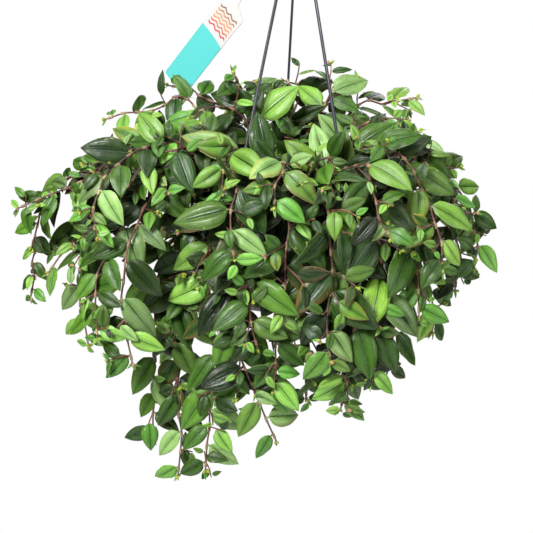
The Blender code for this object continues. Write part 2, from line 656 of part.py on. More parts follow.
def place_stem(shoot, taken):
    """Settles a shoot's route clear of what is taken, straying further with each try."""
    for attempt in range(STEM_TRIES):
        shoot.lay_out(0.25 + attempt * 0.05)
        shoot.tube_points, shoot.tube_faces = tube_round(shoot.places)
        shoot.tube = search_tree(shoot.tube_points, shoot.tube_faces)
        if not shoot.tube.overlap(taken):
            return True
    return False


def grow_stem(shoot):
    """The points of a stem: a root ring, two rings to a node and the apex.

    Returns each node's two rings, which of their sides faces the leaf, the way the stem goes on,
    the way that side faces and the way the leaf's own face should.
    """
    places, points, nodes = shoot.places, shoot.points, []
    count = len(places)
    points += ring_points(places[0], Vector((0, 0, 1)), Vector((1, 0, 0)), STEM_RADIUS[0])
    for i in range(1, count):
        ahead = (places[min(i + 1, count - 1)] - places[i - 1]).normalized()
        face = outward(places[i])
        sideways = ahead.cross(face)
        sideways = sideways.normalized() if sideways.length > 0.05 else Vector((1, 0, 0))
        sideways *= 1 if i % 2 else -1
        radius = STEM_RADIUS[0] + (STEM_RADIUS[1] - STEM_RADIUS[0]) * i / (count - 1)
        low, high = (ring_points(places[i] + ahead * (NODE_LENGTH * step), ahead, sideways, radius)
                     for step in (-0.5, 0.5))
        turn = least_twist(low, points[-3:])
        nodes.append((len(points), -turn % 3, ahead, sideways, face))
        points += low[turn:] + low[:turn] + high[turn:] + high[:turn]
    points.append(bud_end(places))
    return nodes


def build_shoot(shoot, taken):
    """The points and faces of a shoot, with a leaf at each node where one clears what is taken."""
    points, faces, others, leafy = shoot.points, shoot.faces, [], []
    nodes = grow_stem(shoot)
    apex = len(points) - 1
    stem_faces = [(2, 1, 0)]
    add_rings(points, stem_faces, 0, apex)
    stem = search_tree(points, stem_faces)
    for i, (low, open_side, ahead, sideways, face) in enumerate(nodes):
        share = (i + 1) / len(nodes)
        leaf = find_leaf(shoot, shoot.places[i + 1], ahead, face, sideways, share, taken, stem, others)
        if leaf:
            here, there = low + open_side, low + (open_side + 1) % 3
            grow_leaf(points, faces, [here, there, there + 3, here + 3], leaf)
            leafy.append((low, open_side))
    faces.append((2, 1, 0))
    add_rings(points, faces, 0, apex, leafy)
    shoot.leaves = len(leafy)


def find_leaf(shoot, place, ahead, face, sideways, share, taken, stem, others):
    """A leaf at a node that overlaps nothing, or None. Later tries stray further and are smaller."""
    dice = shoot.dice
    young = 1 - YOUNG_LOSS * max(0, share - 0.75) / 0.25
    size = shoot.leaf_length * min(1, 0.8 + share) * young
    tries = [shrink for count, shrink in LEAF_TRIES for _ in range(count)]
    for attempt, shrink in enumerate(tries):
        stray = 1 + attempt / 10
        length = size * shrink * dice.uniform(*LEAF_SIZE)
        width = length * dice.uniform(*LEAF_SHAPE)
        lean = math.radians(dice.uniform(*LEAF_LEAN))
        along = ahead * math.cos(lean) + sideways * math.sin(lean) - Vector((0, 0, LEAF_DROOP))
        along += shoot.spread(LEAF_WANDER * stray)
        turned_face = face + shoot.spread(LEAF_TWIST * stray)
        leaf = Leaf(place, sideways, along, turned_face, length, width, dice.uniform(*LEAF_ARCH))
        if leaf.along.dot(sideways) < 0 or leaf.blade_room().overlap(stem):
            continue
        room = leaf.full_room(with_sheath=False)
        if any(room.overlap(other) for other in others):
            continue
        if leaf.full_room(with_sheath=True).overlap(taken):
            continue
        others.append(room)
        return leaf
    return None


def grow_leaf(points, faces, corners, leaf):
    """Joins a leaf to the four corners of a stem's side, listed anticlockwise from outside."""
    keel_point, right_point, left_point = leaf.neck()
    ends = (right_point, left_point, keel_point, keel_point)

    def reach(top):
        return sum((points[corners[(top + k) % 4]] - ends[k]).length_squared for k in range(4))
    top = min(range(4), key=reach)
    right_top, left_top, left_low, right_low = (corners[(top + k) % 4] for k in range(4))
    keel, right, left = (len(points) + k for k in range(3))
    for ring in leaf.rings():
        points.extend(ring)
    points.append(leaf.spine(1))
    faces += [(left_low, right_low, keel),
              (right_low, right_top, right), (right_low, right, keel),
              (right_top, left_top, left), (right_top, left, right),
              (left_top, left_low, keel), (left_top, keel, left)]
    add_rings(points, faces, keel, len(points) - 1)


def add_polygons(points, faces, more_points, more_faces):
    start = len(points)
    points += more_points
    faces += [[start + i for i in face] for face in more_faces]


def evaluated_polygons(things):
    """World points and faces of finished objects."""
    points, faces = [], []
    graph = bpy.context.evaluated_depsgraph_get()
    for thing in things:
        read = thing.evaluated_get(graph)
        mesh = read.to_mesh()
        corners = [thing.matrix_world @ v.co for v in mesh.vertices]
        add_polygons(points, faces, corners, [p.vertices for p in mesh.polygons])
        read.to_mesh_clear()
    return points, faces


def make_shoots(solid, skin):
    """Every stem is placed before any leaf, and each leaf then finds its own room."""
    fixed_points, fixed_faces = evaluated_polygons(solid)
    points, faces = list(fixed_points), list(fixed_faces)
    shoots = []
    for number, plan in enumerate(SHOOTS):
        shoot = Shoot(f"shoot_{number + 1:02d}", plan, random.Random(SEED * 1000 + number))
        if place_stem(shoot, search_tree(points, faces)):
            add_polygons(points, faces, shoot.tube_points, shoot.tube_faces)
            shoots.append(shoot)
    for number, shoot in enumerate(shoots):
        points, faces = list(fixed_points), list(fixed_faces)
        for other in shoots[:number]:
            add_polygons(points, faces, other.points, other.faces)
        for other in shoots[number + 1:]:
            add_polygons(points, faces, other.tube_points, other.tube_faces)
        build_shoot(shoot, search_tree(points, faces))
        new_object(shoot.name, mesh_from(shoot.name, shoot.points, shoot.faces), skin)
        print(shoot.name, "leaves", shoot.leaves, "of", len(shoot.places) - 1)


def main():
    clear_scene()
    black = material("pot_plastic", (0.030, 0.029, 0.033), 0.45)
    slate = material("hanger_plastic", (0.035, 0.040, 0.052), 0.40)
    earth = material("soil", (0.045, 0.030, 0.020), 0.95)
    card = material("label_card", (0.15, 0.82, 0.78), 0.40)
    leaf = material("leaf", (0.060, 0.170, 0.035), 0.40)
    solid = [make_pot(black), make_soil(earth), make_hook(slate)]
    solid += [make_strand(name, slate) for name in STRAND_ANGLES]
    solid.append(make_label(card))
    bpy.context.view_layer.update()
    make_shoots(solid, leaf)


main()
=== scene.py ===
"""Looks of the hanging pot of wandering dude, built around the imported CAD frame.

Each CAD shoot is read back into its stem and leaves, and replaced by a round jointed stem with
curved, folded, veined leaves in the same places. Side sprigs that are too small for the CAD grow
from its nodes, where a coarse test finds them clear of it and of one another.
"""

import math
import random

import bmesh
import bpy
import numpy as np
from mathutils import Matrix, Vector
from mathutils.bvhtree import BVHTree


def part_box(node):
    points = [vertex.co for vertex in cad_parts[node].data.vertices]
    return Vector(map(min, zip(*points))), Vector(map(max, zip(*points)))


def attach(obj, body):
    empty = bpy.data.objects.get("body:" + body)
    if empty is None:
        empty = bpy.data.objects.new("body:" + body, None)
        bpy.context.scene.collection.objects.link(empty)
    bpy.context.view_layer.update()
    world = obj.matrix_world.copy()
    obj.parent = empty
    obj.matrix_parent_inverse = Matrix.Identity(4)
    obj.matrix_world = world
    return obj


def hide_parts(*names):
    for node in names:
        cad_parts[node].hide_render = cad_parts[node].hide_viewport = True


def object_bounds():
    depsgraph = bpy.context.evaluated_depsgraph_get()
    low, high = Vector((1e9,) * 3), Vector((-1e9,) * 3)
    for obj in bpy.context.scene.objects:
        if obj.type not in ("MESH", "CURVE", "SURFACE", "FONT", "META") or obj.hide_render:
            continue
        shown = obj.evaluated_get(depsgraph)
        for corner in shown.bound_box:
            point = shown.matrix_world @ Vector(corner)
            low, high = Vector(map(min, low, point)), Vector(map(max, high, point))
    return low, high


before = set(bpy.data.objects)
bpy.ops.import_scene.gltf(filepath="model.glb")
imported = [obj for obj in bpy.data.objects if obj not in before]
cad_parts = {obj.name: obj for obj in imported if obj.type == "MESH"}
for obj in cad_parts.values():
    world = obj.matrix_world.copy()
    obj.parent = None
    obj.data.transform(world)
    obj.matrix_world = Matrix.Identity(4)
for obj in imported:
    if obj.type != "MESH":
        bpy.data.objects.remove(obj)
CAD_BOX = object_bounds()

# Shared with the CAD, in metres and degrees.
POT_X = -0.0095
RIM_Z = -0.335
RIM_RADIUS = 0.0775
WALL_TOP_RADIUS = 0.0740
WALL_LOW_RADIUS = 0.0655
WALL_LOW_DEPTH = 0.080
BASE_RADIUS = 0.0400
POT_HEIGHT = 0.117
WALL = 0.0012
STRAND_ANGLES = {"right": 335, "back": 95, "left": 215}
EAR_RADIUS = 0.0665
EAR_WIDTH = 0.013
EAR_THICK = 0.0022
EAR_DROP = 0.0008
EAR_REACH = 0.0095
SLOT_RADIAL, SLOT_ACROSS = 0.0032, 0.0042
SOIL_DEPTH = 0.013
HUB_Z = -0.0475
HUB_RADIUS = 0.0095
HUB_DISC = 0.0035
HUB_HEIGHT = 0.0095
HUB_RING = 0.0062
HOOK_RADIUS = 0.0135
HOOK_WIRE = 0.0021
HOOK_START, HOOK_END = -40, 195
LEAF_THICK = 0.0010
LEAF_WIDE, LEAF_FAR = 0.32, 0.68     # where along a leaf its two sections are
LABEL_DOWN = Vector((-0.606, 0.330, -0.724))
LABEL_ACROSS = Vector((0.43, -0.61, -0.64))
LABEL_LENGTH = 0.110
RIM_CENTRE = Vector((POT_X, 0, RIM_Z))
UP = Vector((0, 0, 1))

# Reading the CAD shoots.
WELD_STEPS = 2e5                 # steps to a metre in which points that agree are one
STEM_END = 0.0022                # a last section narrower than this is the stem's, not a leaf's

# Pot and compost.
RIM_DEPTH = 0.0040
FLOOR_LIFT = 0.0020              # the floor inside the foot ring stands this far up
FOOT_TOP_IN, FOOT_LOW_IN = 0.0075, 0.0062      # from the base's edge to the foot ring's inner side
FLOOR_HOLE = 0.005
WALL_BANDS = 8                   # steps of the wall, every second one drawn in a little
WALL_BAND_DEPTH = 0.00035
BELLY_STEPS = 9                  # of the curve between the wall and the base, 90 degrees in all
DRAINS = 6
DRAIN_RING, DRAIN_RADIUS = 0.020, 0.0035
DRAIN_CUT, SLOT_CUT = 0.02, 0.01     # heights of the bodies that cut holes and slots
EAR_BEVEL = 0.0005
SOIL_RINGS, SOIL_SIDES = 26, 84
SOIL_GAP = 0.0004                # between the compost's top and the pot's wall
SOIL_WAVES, SOIL_BUMP = 16, 0.0011
SOIL_BODY = ((0.0640, -WALL_LOW_DEPTH), (0.052, -0.0925), (0.030, -0.105))     # under its top edge
SOIL_BITS, BIT_SIZES = 420, (0.0007, 0.0022)
PERLITE_CHANCE = 0.12

# Strands, radially and tangentially: the shank, its neck through the ear, and the hub's slots.
SHANK_DEEP, SHANK_WIDE = 0.0034, 0.0026
SHANK_STEPS = 23
NECK_DEEP = 0.00245
HUB_SLOT = (0.0041, 0.0033)
HOOK_STEPS = 40

# Tag: lengths from the card's top edge, and the print on its white part.
CARD_CORNER = 0.0025
CARD_HALF_THICK = 0.0003
CARD_BOW = 0.0022
CARD_SURE = 0.09                 # CAD points this near the lower end are the card's, not the strap's
STRAP_WIDTH = 0.0035
STRAP_TOP, SHOULDER_TOP, SHOULDER_END = -0.088, -0.006, 0.003
BAND_DOWN = 0.022                # the strap's band is this far down the strand from the hub
PRINT_LENGTH = 0.0389
STRIPE_WAVE, STRIPE_SWING, STRIPE_PITCH = 0.0128, 0.0011, 0.0045

# Camera, lamps (place, size and watts) and floor.
CAMERA_DISTANCE = 1.4
CAMERA_RISE = 4                  # degrees above the level
VIEW_HALF = 0.2815               # half the width of the view at the plant
TARGET = Vector((POT_X - 0.0227, 0, RIM_Z - 0.0723))
LAMPS = {
    "key": ((-0.70, -1.15, 0.65), 0.45, 26.0),
    "fill": ((1.15, -0.75, 0.10), 0.7, 6.0),
    "top": ((0.15, -0.35, 1.2), 0.55, 8.0),
    "back": ((0.4, 1.4, 0.4), 1.4, 14.0),
}
LAMPS_MIDDLE = Vector((0, 0, -0.35))     # places count from here, and the lamps face it
WORLD_COLOUR, WORLD_STRENGTH = (1.0, 0.99, 0.96), 0.022
FLOOR_Z = -0.98

# Leaves: how their colours vary, and the ranges of each one's own shape.
LEAF_LIGHTNESS = (0.26, 1.60)
BRIGHTEST = 0.60                 # green of the palest leaves
BRONZE_CHANCE = 0.12
BEND, HOOK, TWIST = (-0.05, 0.05), (-0.01, 0.06), (-0.22, 0.22)
FOLD, PUFF, CURL = (0.04, 0.26), (0.09, 0.21), (0.0, 0.20)
BEATS, PHASE, SWING = (1.5, 3.5), (0, math.tau), (0.02, 0.09)
FULL_GRID, SMALL_GRID, BRACT_GRID = (10, 9), (7, 7), (5, 5)     # a blade's points along and across
TIP_HALF = 0.00012
BLADE_THIN, BLADE_SWELL = 0.00014, 0.00022     # thickness at a blade's edge, and what its middle adds
YOUNG_CHANCE, YOUNG_LOW_CHANCE = 0.6, 0.22     # at the tip of a shoot or sprig, and at a sprig's foot

# Stems: radii at the root and the tip, and where a length between nodes has its rings.
STEM_RADII, SPRIG_RADII = (0.00130, 0.00082), (0.00080, 0.00050)
SHEATH_RADIUS = 0.0010
STEPS = (0, 0.08, 0.2, 0.5, 0.8, 0.92)
FEW_STEPS = (0, 0.12, 0.5, 0.88)

# The chances of bristles and a root at a node, of buds on a sprig, and that a bud is green.
HAIR_CHANCE, ROOT_CHANCE, BUD_CHANCE, GREEN_CHANCE = 0.22, 0.12, 0.45, 0.78

# Side sprigs.
SPRIG_CHANCES = (0.85, 0.45)     # that a node grows a first and a second sprig
SPRIG_TRIES = 16
SPRIG_SHRINK = 0.965             # how much smaller each try is than the last
SPRIG_REACH = 0.012              # how far a sprig's leaf may end from the nearest CAD face
BOX_SPARE = 0.003                # and how far outside the CAD's box
LEAF_SPARE = 0.0004              # free space round a sprig's leaf
SHOWN_HEIGHT = 0.045             # sprigs leave the strands in view above this height over the rim
SHOWN_HALF = 0.008               # and this far either side of them
SHOWN_LABEL = 0.032              # and the label, this far either side of its middle
FRESH_POINTS = 900               # taken points are indexed once there are more than this

# Painted shade: leaves inside the plant are painted darker than those on its outside, the more so the more
# CAD leaves cover them.
COVERED_PAINTED_SHADE = 0.95              # of a leaf that is covered on every side
COVER_REACH = 0.07               # how far off a leaf may be that covers it
COVER_LEANS = [(0, 0, 0), (0.6, 0, 0), (-0.6, 0, 0), (0, 0, 0.6), (0, 0, -0.5), (0.4, -0.3, 0.4),
               (-0.4, -0.3, 0.4)]     # of the ways out that are tried, from the way leaves face there
PLANT_MIDDLE = RIM_CENTRE + Vector((0, 0.01, -0.10))

SEED = 11


# ---- colours and materials

def srgb(red, green, blue):
    """A screen colour as linear light."""
    return np.array([((c / 255 + 0.055) / 1.055) ** 2.4 if c > 10 else c / 255 / 12.92
                     for c in (red, green, blue)])


class Tree:
    """A new material's or world's nodes, with short ways to add and join them."""

    def __init__(self, name, kind="materials"):
        self.owner = getattr(bpy.data, kind).new(name)
        self.owner.use_nodes = True
        self.nodes = self.owner.node_tree.nodes
        self.shader = self.nodes.get("Principled BSDF")

    def put(self, socket, value):
        """Links a socket to another, or sets it to a number or colour."""
        if isinstance(value, bpy.types.NodeSocket):
            self.owner.node_tree.links.new(value, socket)
        elif hasattr(value, "__len__"):
            socket.default_value = (*value, 1)
        else:
            socket.default_value = value

    def add(self, kind, *values, **settings):
        """A node, with values for its first inputs."""
        made = self.nodes.new("ShaderNode" + kind)
        for name, value in settings.items():
            setattr(made, name, value)
        for socket, value in zip(made.inputs, values):
            self.put(socket, value)
        return made

    def fill(self, node, **values):
        """Gives values to inputs by name, with _ for a space."""
        for name, value in values.items():
            self.put(node.inputs[name.replace("_", " ")], value)
        return node

    def math(self, operation, *values):
        return self.add("Math", *values, operation=operation).outputs[0]

    def ramp(self, value, low, high, out_low=0.0, out_high=1.0):
        """A smooth step of value from low to high."""
        return self.add("MapRange", value, low, high, out_low, out_high,
                        interpolation_type="SMOOTHSTEP").outputs[0]

    def noise(self, scale, detail=3.0, roughness=0.55, place=None):
        """Noise by a place, or by the place on the object."""
        made = self.add("TexNoise")
        place = place or self.add("TexCoord").outputs["Object"]
        return self.fill(made, Vector=place, Scale=scale, Detail=detail, Roughness=roughness).outputs["Fac"]

    def mix(self, share, first, second, blend="MIX"):
        made = self.add("Mix", share, data_type="RGBA", blend_type=blend)
        for socket, value in zip((s for s in made.inputs if s.type == "RGBA"), (first, second)):
            self.put(socket, value)
        return next(s for s in made.outputs if s.type == "RGBA")

    def stain(self, colour, value, low, high, strength, over):
        """Mixes a colour over another as a value goes from low to high, up to a strength."""
        return self.mix(self.ramp(value, low, high, 0.0, strength), colour, over)

    def bump(self, height, strength, distance):
        made = self.fill(self.add("Bump"), Strength=strength, Distance=distance, Height=height)
        self.fill(self.shader, Normal=made.outputs[0])

    def tint(self):
        """The colour in the mesh."""
        return self.add("VertexColor", layer_name="tint").outputs["Color"]

    def uv(self):
        return self.add("SeparateXYZ", self.add("UVMap", uv_map="UVMap").outputs[0]).outputs[:2]

    def finish(self, colour, roughness):
        self.fill(self.shader, Base_Color=colour, Roughness=roughness)
        return self.owner


def leaf_material(name, roughness, midrib_colour_and_groove_shade, vein_shade, painted_sheen):
    """A blade with a midrib line, parallel veins, streaks along it, a painted sheen along the crest of each
    half, and a satin surface; on the top, the midrib line is painted shade in its groove.

    Its coordinates are how far along the blade a point is, plus a whole number of the leaf's own,
    and how far across it from edge to edge.
    """
    tree = Tree(name)
    tint = tree.tint()
    along, across = tree.uv()
    off = tree.math("ABSOLUTE", tree.math("MULTIPLY_ADD", across, 2.0, -1.0))
    stretched = tree.add("CombineXYZ", tree.math("MULTIPLY", along, 1.7), tree.math("MULTIPLY", across, 15.0))
    streak = tree.noise(1.0, 2.0, place=stretched.outputs[0])
    fine = tree.noise(3.4, 1.0, place=stretched.outputs[0])
    mottle = tree.noise(210.0)
    patch = tree.noise(45.0, 2.0)
    rib = tree.ramp(off, 0.07, 0.02)
    rib_share = tree.math("MULTIPLY", rib, tree.ramp(tree.math("FRACT", along), 1.0, 0.6, 0.35, 0.85))
    vein = tree.ramp(tree.math("PINGPONG", tree.math("MULTIPLY", off, 5.5), 0.5), 0.14, 0.0)
    vein = tree.math("MULTIPLY", vein, tree.ramp(off, 1.0, 0.8))
    # The crest of each half, where a sheen is painted; pale gives both this painted sheen and the leaf's own
    # paler streaks and margin.
    sheen_mask = tree.math("MULTIPLY", tree.ramp(off, 0.12, 0.5), tree.ramp(off, 0.95, 0.55))
    dark = tree.mix(1.0, tint, (0.34, 0.38, 0.32), "MULTIPLY")
    pale = tree.mix(0.05, tree.mix(1.0, tint, (1.6, 1.45, 1.8), "MULTIPLY"), (0.80, 0.95, 0.50))
    colour = tree.stain(tint, streak, 0.45, 0.72, 0.45, dark)
    colour = tree.stain(colour, fine, 0.52, 0.78, 0.40, pale)
    colour = tree.mix(tree.math("MULTIPLY", vein, vein_shade), colour, dark)
    colour = tree.stain(colour, patch, 0.44, 0.70, 0.50, dark)
    # Painted sheen: the crests are made paler.
    colour = tree.mix(tree.math("MULTIPLY", sheen_mask, painted_sheen), colour, pale)
    # On the top, the midrib line is painted shade in the sunk groove; on the underside it is the rib's own
    # pale colour.
    colour = tree.mix(rib_share, colour, midrib_colour_and_groove_shade)
    colour = tree.stain(colour, off, 0.93, 0.99, 0.55, tree.mix(0.4, pale, (0.55, 0.66, 0.28)))
    height = tree.math("MULTIPLY", fine, 0.45)
    for part, size in ((vein, -0.8), (rib, -1.4), (mottle, 0.35)):
        height = tree.math("MULTIPLY_ADD", part, size, height)
    tree.bump(height, 0.45, 0.0007)
    tree.fill(tree.shader, Specular_IOR_Level=0.45)
    return tree.finish(colour, tree.ramp(mottle, 0.3, 0.75, roughness - 0.05, roughness + 0.12))


def stem_material():
    tree = Tree("stem")
    streak = tree.noise(420.0, 3.0)
    colour = tree.stain(tree.tint(), streak, 0.4, 0.75, 0.35, (0.40, 0.20, 0.17))
    colour = tree.stain(colour, tree.noise(55.0, 2.0), 0.42, 0.72, 0.62, (0.064, 0.023, 0.023))
    tree.bump(streak, 0.3, 0.0003)
    return tree.finish(colour, 0.42)


def plain_material(name, roughness):
    """Buds, bristles, roots and bits of compost: colour from the mesh with fine mottling."""
    tree = Tree(name)
    grain = tree.noise(900.0, 2.0)
    tree.bump(grain, 0.5, 0.0004)
    return tree.finish(tree.stain(tree.tint(), grain, 0.35, 0.7, 0.35, (0.02, 0.014, 0.008)), roughness)


def plastic_material(name, colour, lighter, roughness):
    """Moulded plastic: fine grain, flow marks and a little rubbed dust."""
    tree = Tree(name)
    flow = tree.noise(30.0, 3.0)
    dust = tree.noise(9.0, 4.0, 0.65)
    made = tree.stain(colour, flow, 0.4, 0.7, 0.3, lighter)
    made = tree.stain(made, dust, 0.52, 0.8, 0.16, (0.20, 0.17, 0.13))
    tree.bump(tree.math("MULTIPLY_ADD", flow, 0.6, tree.noise(1400.0, 2.0)), 0.18, 0.0002)
    return tree.finish(made, tree.ramp(dust, 0.3, 0.8, roughness, roughness + 0.16))


def soil_material():
    tree = Tree("compost")
    crumb = tree.noise(260.0, 5.0, 0.7)
    clod = tree.noise(70.0, 3.0)
    colour = tree.stain((0.018, 0.011, 0.007), crumb, 0.35, 0.7, 1.0, (0.115, 0.070, 0.042))
    colour = tree.stain(colour, clod, 0.5, 0.75, 0.5, (0.03, 0.022, 0.016))
    tree.bump(tree.math("ADD", crumb, clod), 0.9, 0.0016)
    return tree.finish(colour, 0.93)


def label_material():
    """Printed card: bare turquoise below, and plain wavy stripes in warm colours on the white part."""
    tree = Tree("printed_card")
    down, across = tree.uv()         # in metres along and across the card
    turquoise, white = srgb(97, 208, 204), srgb(218, 217, 214)
    wave = tree.math("SINE", tree.math("MULTIPLY", across, math.tau / STRIPE_WAVE))
    wavy = tree.math("MULTIPLY_ADD", wave, STRIPE_SWING, down)
    stripe = tree.ramp(tree.math("PINGPONG", wavy, STRIPE_PITCH / 2), 0.0011, 0.0008)
    for value, edge, inside in ((down, 0.0065, 0.0067), (down, 0.0335, 0.0333),
                                (tree.math("ABSOLUTE", across), 0.0192, 0.0190)):
        stripe = tree.math("MULTIPLY", stripe, tree.ramp(value, edge, inside))
    warm = tree.stain(srgb(150, 112, 90), down, 0.008, 0.018, 1.0, srgb(232, 160, 104))
    warm = tree.stain(warm, down, 0.020, 0.032, 1.0, srgb(200, 88, 84))
    colour = tree.mix(stripe, white, warm)
    colour = tree.stain(colour, down, PRINT_LENGTH, PRINT_LENGTH + 0.0002, 1.0, turquoise)
    tree.bump(tree.noise(1500.0, 2.0), 0.08, 0.0002)
    return tree.finish(colour, 0.34)


# The top's dark midrib colour is painted shade in the groove.
PLANT_MATERIALS = [leaf_material("leaf_top", 0.29, (0.018, 0.054, 0.014), 0.35, 0.34),
                   # The last number of each leaf material is the strength of its painted sheen.
                   leaf_material("leaf_under", 0.50, (0.48, 0.48, 0.26), 0.30, 0.15),
                   stem_material(), plain_material("bud", 0.45)]
TOP, UNDER, STEM, BUD = range(4)


# ---- meshes

def round_point(radius, turn, height=0.0):
    """A point at a radius and an angle round the vertical axis."""
    return Vector((radius * math.cos(turn), radius * math.sin(turn), height))


def smooth(mesh, sharp):
    """Shades a mesh smooth, apart from edges over an angle in degrees."""
    mesh.shade_smooth()
    mesh.set_sharp_from_angle(angle=math.radians(sharp))


def link(name, mesh, materials, sharp=40):
    """A mesh as an object of the scene."""
    for made in materials:
        mesh.materials.append(made)
    smooth(mesh, sharp)
    made = bpy.data.objects.new(name, mesh)
    bpy.context.scene.collection.objects.link(made)
    return made


def link_shape(name, shape, materials, sharp=40):
    """The same for a bmesh, with its faces turned outwards."""
    bmesh.ops.recalc_face_normals(shape, faces=shape.faces)
    mesh = bpy.data.meshes.new(name)
    shape.to_mesh(mesh)
    shape.free()
    return link(name, mesh, materials, sharp)


def grid_faces(rows, columns, start=0, wrap=False, flip=False):
    """Quads of a grid of points stored row by row. A wrapped grid closes on itself across its columns."""
    faces = []
    for r in range(rows - 1):
        for c in range(columns if wrap else columns - 1):
            d = (c + 1) % columns
            quad = (start + r * columns + c, start + (r + 1) * columns + c,
                    start + (r + 1) * columns + d, start + r * columns + d)
            faces.append(tuple(reversed(quad)) if flip else quad)
    return faces


class Build:
    """Collects points, faces, colours and blade coordinates, and turns them into one piece."""

    def __init__(self):
        self.points, self.tints, self.uvs, self.faces, self.slots = [], [], [], [], []
        self.count = 0

    def add(self, points, faces, slot, tint, uv=None):
        points = np.asarray(points, float).reshape(-1, 3)
        number = len(points)
        self.points.append(points)
        self.tints.append(np.broadcast_to(np.asarray(tint, float).reshape(-1, 3), (number, 3)))
        self.uvs.append(np.zeros((number, 2)) if uv is None else np.asarray(uv, float).reshape(-1, 2))
        self.faces += [tuple(i + self.count for i in face) for face in faces]
        self.slots += [slot] * len(faces)
        self.count += number

    def add_sheet(self, size, points, tints, slots, uv):
        """A thin closed sheet: the front's and the back's points, row by row, and a rim between them."""
        rows, columns = size
        number = rows * columns
        front = self.count
        back = front + number
        for side in range(2):
            self.add(points[side], grid_faces(rows, columns, flip=side == 1), slots[side], tints[side], uv)
        loop = list(range(columns)) + [r * columns + columns - 1 for r in range(1, rows)]
        loop += [number - columns + c for c in range(columns - 2, -1, -1)]
        loop += [r * columns for r in range(rows - 2, 0, -1)]
        self.faces += [(front + a, front + b, back + b, back + a) for a, b in zip(loop, loop[1:] + loop[:1])]
        self.slots += [slots[0]] * len(loop)

    def finish(self, name, materials, sharp=70):
        points = np.concatenate(self.points)
        mesh = bpy.data.meshes.new(name)
        mesh.from_pydata(points.tolist(), [], self.faces)
        made = link(name, mesh, materials, sharp)
        mesh.polygons.foreach_set("material_index", np.array(self.slots, np.int32))
        tints = np.concatenate([np.concatenate(self.tints), np.ones((len(points), 1))], axis=1)
        colours = mesh.color_attributes.new("tint", "FLOAT_COLOR", "POINT")
        colours.data.foreach_set("color", np.clip(tints, 0, 1).astype(np.float32).ravel())
        corners = np.zeros(len(mesh.loops), np.int32)
        mesh.loops.foreach_get("vertex_index", corners)
        layer = mesh.uv_layers.new(name="UVMap")
        layer.data.foreach_set("uv", np.concatenate(self.uvs)[corners].astype(np.float32).ravel())
        mesh.validate()
        return made


def steady_sides(path):
    """Two ways across a path at each of its points, which turn no more than the path does."""
    tangents = np.gradient(path, axis=0)
    tangents /= np.linalg.norm(tangents, axis=1)[:, None]
    first = np.cross(tangents[0], (0.3, 0.9, 0.2) if abs(tangents[0][2]) > 0.8 else (0, 0, 1))
    sides = [first / np.linalg.norm(first)]
    for tangent in tangents[1:]:
        side = sides[-1] - tangent * sides[-1].dot(tangent)
        sides.append(side / np.linalg.norm(side))
    return np.array(sides), np.cross(tangents, sides)


def add_tube(build, path, radii, tints, slot, around=8):
    """A round tube along a path, closed at both ends."""
    path, radii = np.asarray(path, float), np.asarray(radii, float)
    sides, ups = steady_sides(path)
    turns = (np.arange(around) * math.tau / around)[:, None]
    ring = sides[:, None] * np.cos(turns) + ups[:, None] * np.sin(turns)
    points = path[:, None] + ring * radii[:, None, None]
    colours = np.repeat(np.broadcast_to(np.asarray(tints, float), (len(path), 3)), around, axis=0)
    last = (len(path) - 1) * around
    caps = [tuple(reversed(range(around))), tuple(last + k for k in range(around))]
    build.add(points, grid_faces(len(path), around, wrap=True, flip=True) + caps, slot, colours)


def add_ball(build, centre, size, tint, slot, axis, around=6, rings=4):
    """A small ovoid: size is its radius across and along its axis."""
    turn = Vector(axis).to_track_quat("Z", "Y").to_matrix()
    radius, half_length = size
    points = [centre - turn @ UP * half_length]
    for r in range(1, rings):
        rise = math.pi * r / rings
        points += [centre + turn @ round_point(radius * math.sin(rise), math.tau * k / around,
                                               -half_length * math.cos(rise)) for k in range(around)]
    points.append(centre + turn @ UP * half_length)
    top, last = len(points) - 1, 1 + (rings - 2) * around
    faces = [(0, 1 + (k + 1) % around, 1 + k) for k in range(around)]
    faces += grid_faces(rings - 1, around, 1, wrap=True, flip=True)
    faces += [(top, last + k, last + (k + 1) % around) for k in range(around)]
    build.add([tuple(p) for p in points], faces, slot, tint)


# ---- reading the CAD shoots

class Leaf:
    """A leaf: where its blade starts, which way it lies and faces, and how big it is."""

    def __init__(self, base, along, face, length, width, arch):
        self.base = Vector(base)
        self.along = Vector(along).normalized()
        face = Vector(face)
        self.face = (face - self.along * face.dot(self.along)).normalized()
        self.side = self.face.cross(self.along)
        self.length, self.width, self.arch = length, width, arch

    def spine(self, u):
        return self.base + self.along * (self.length * u) - self.face * (self.length * self.arch * u * u)

    def room(self):
        """A coarse swollen copy of the blade, for overlap tests."""
        points = []
        for u in (0.06, 0.3, 0.68):
            half = self.width / 2 * leaf_outline(u) + LEAF_SPARE
            middle, rise = self.spine(u), self.face * (half * 0.2 + LEAF_SPARE)
            points += [middle - self.face * (0.0008 + LEAF_SPARE), middle + self.side * half + rise,
                       middle - self.side * half + rise]
        points.append(self.spine(1) + self.along * LEAF_SPARE)
        tip = [(6 + k, 6 + (k + 1) % 3, 9) for k in range(3)]
        return points, [(2, 1, 0)] + grid_faces(3, 3, wrap=True) + tip


def leaf_outline(u):
    """Half width of a leaf, as a share of its widest, at a share of its length."""
    u = min(max(u, 0.0), 1.0)
    return math.sin(math.pi * u ** 0.72) ** (0.60 + 0.22 * u)      # rounded at its foot, drawn out at its tip


def mean(places):
    """The middle of some places."""
    return sum(places, Vector()) / len(places)


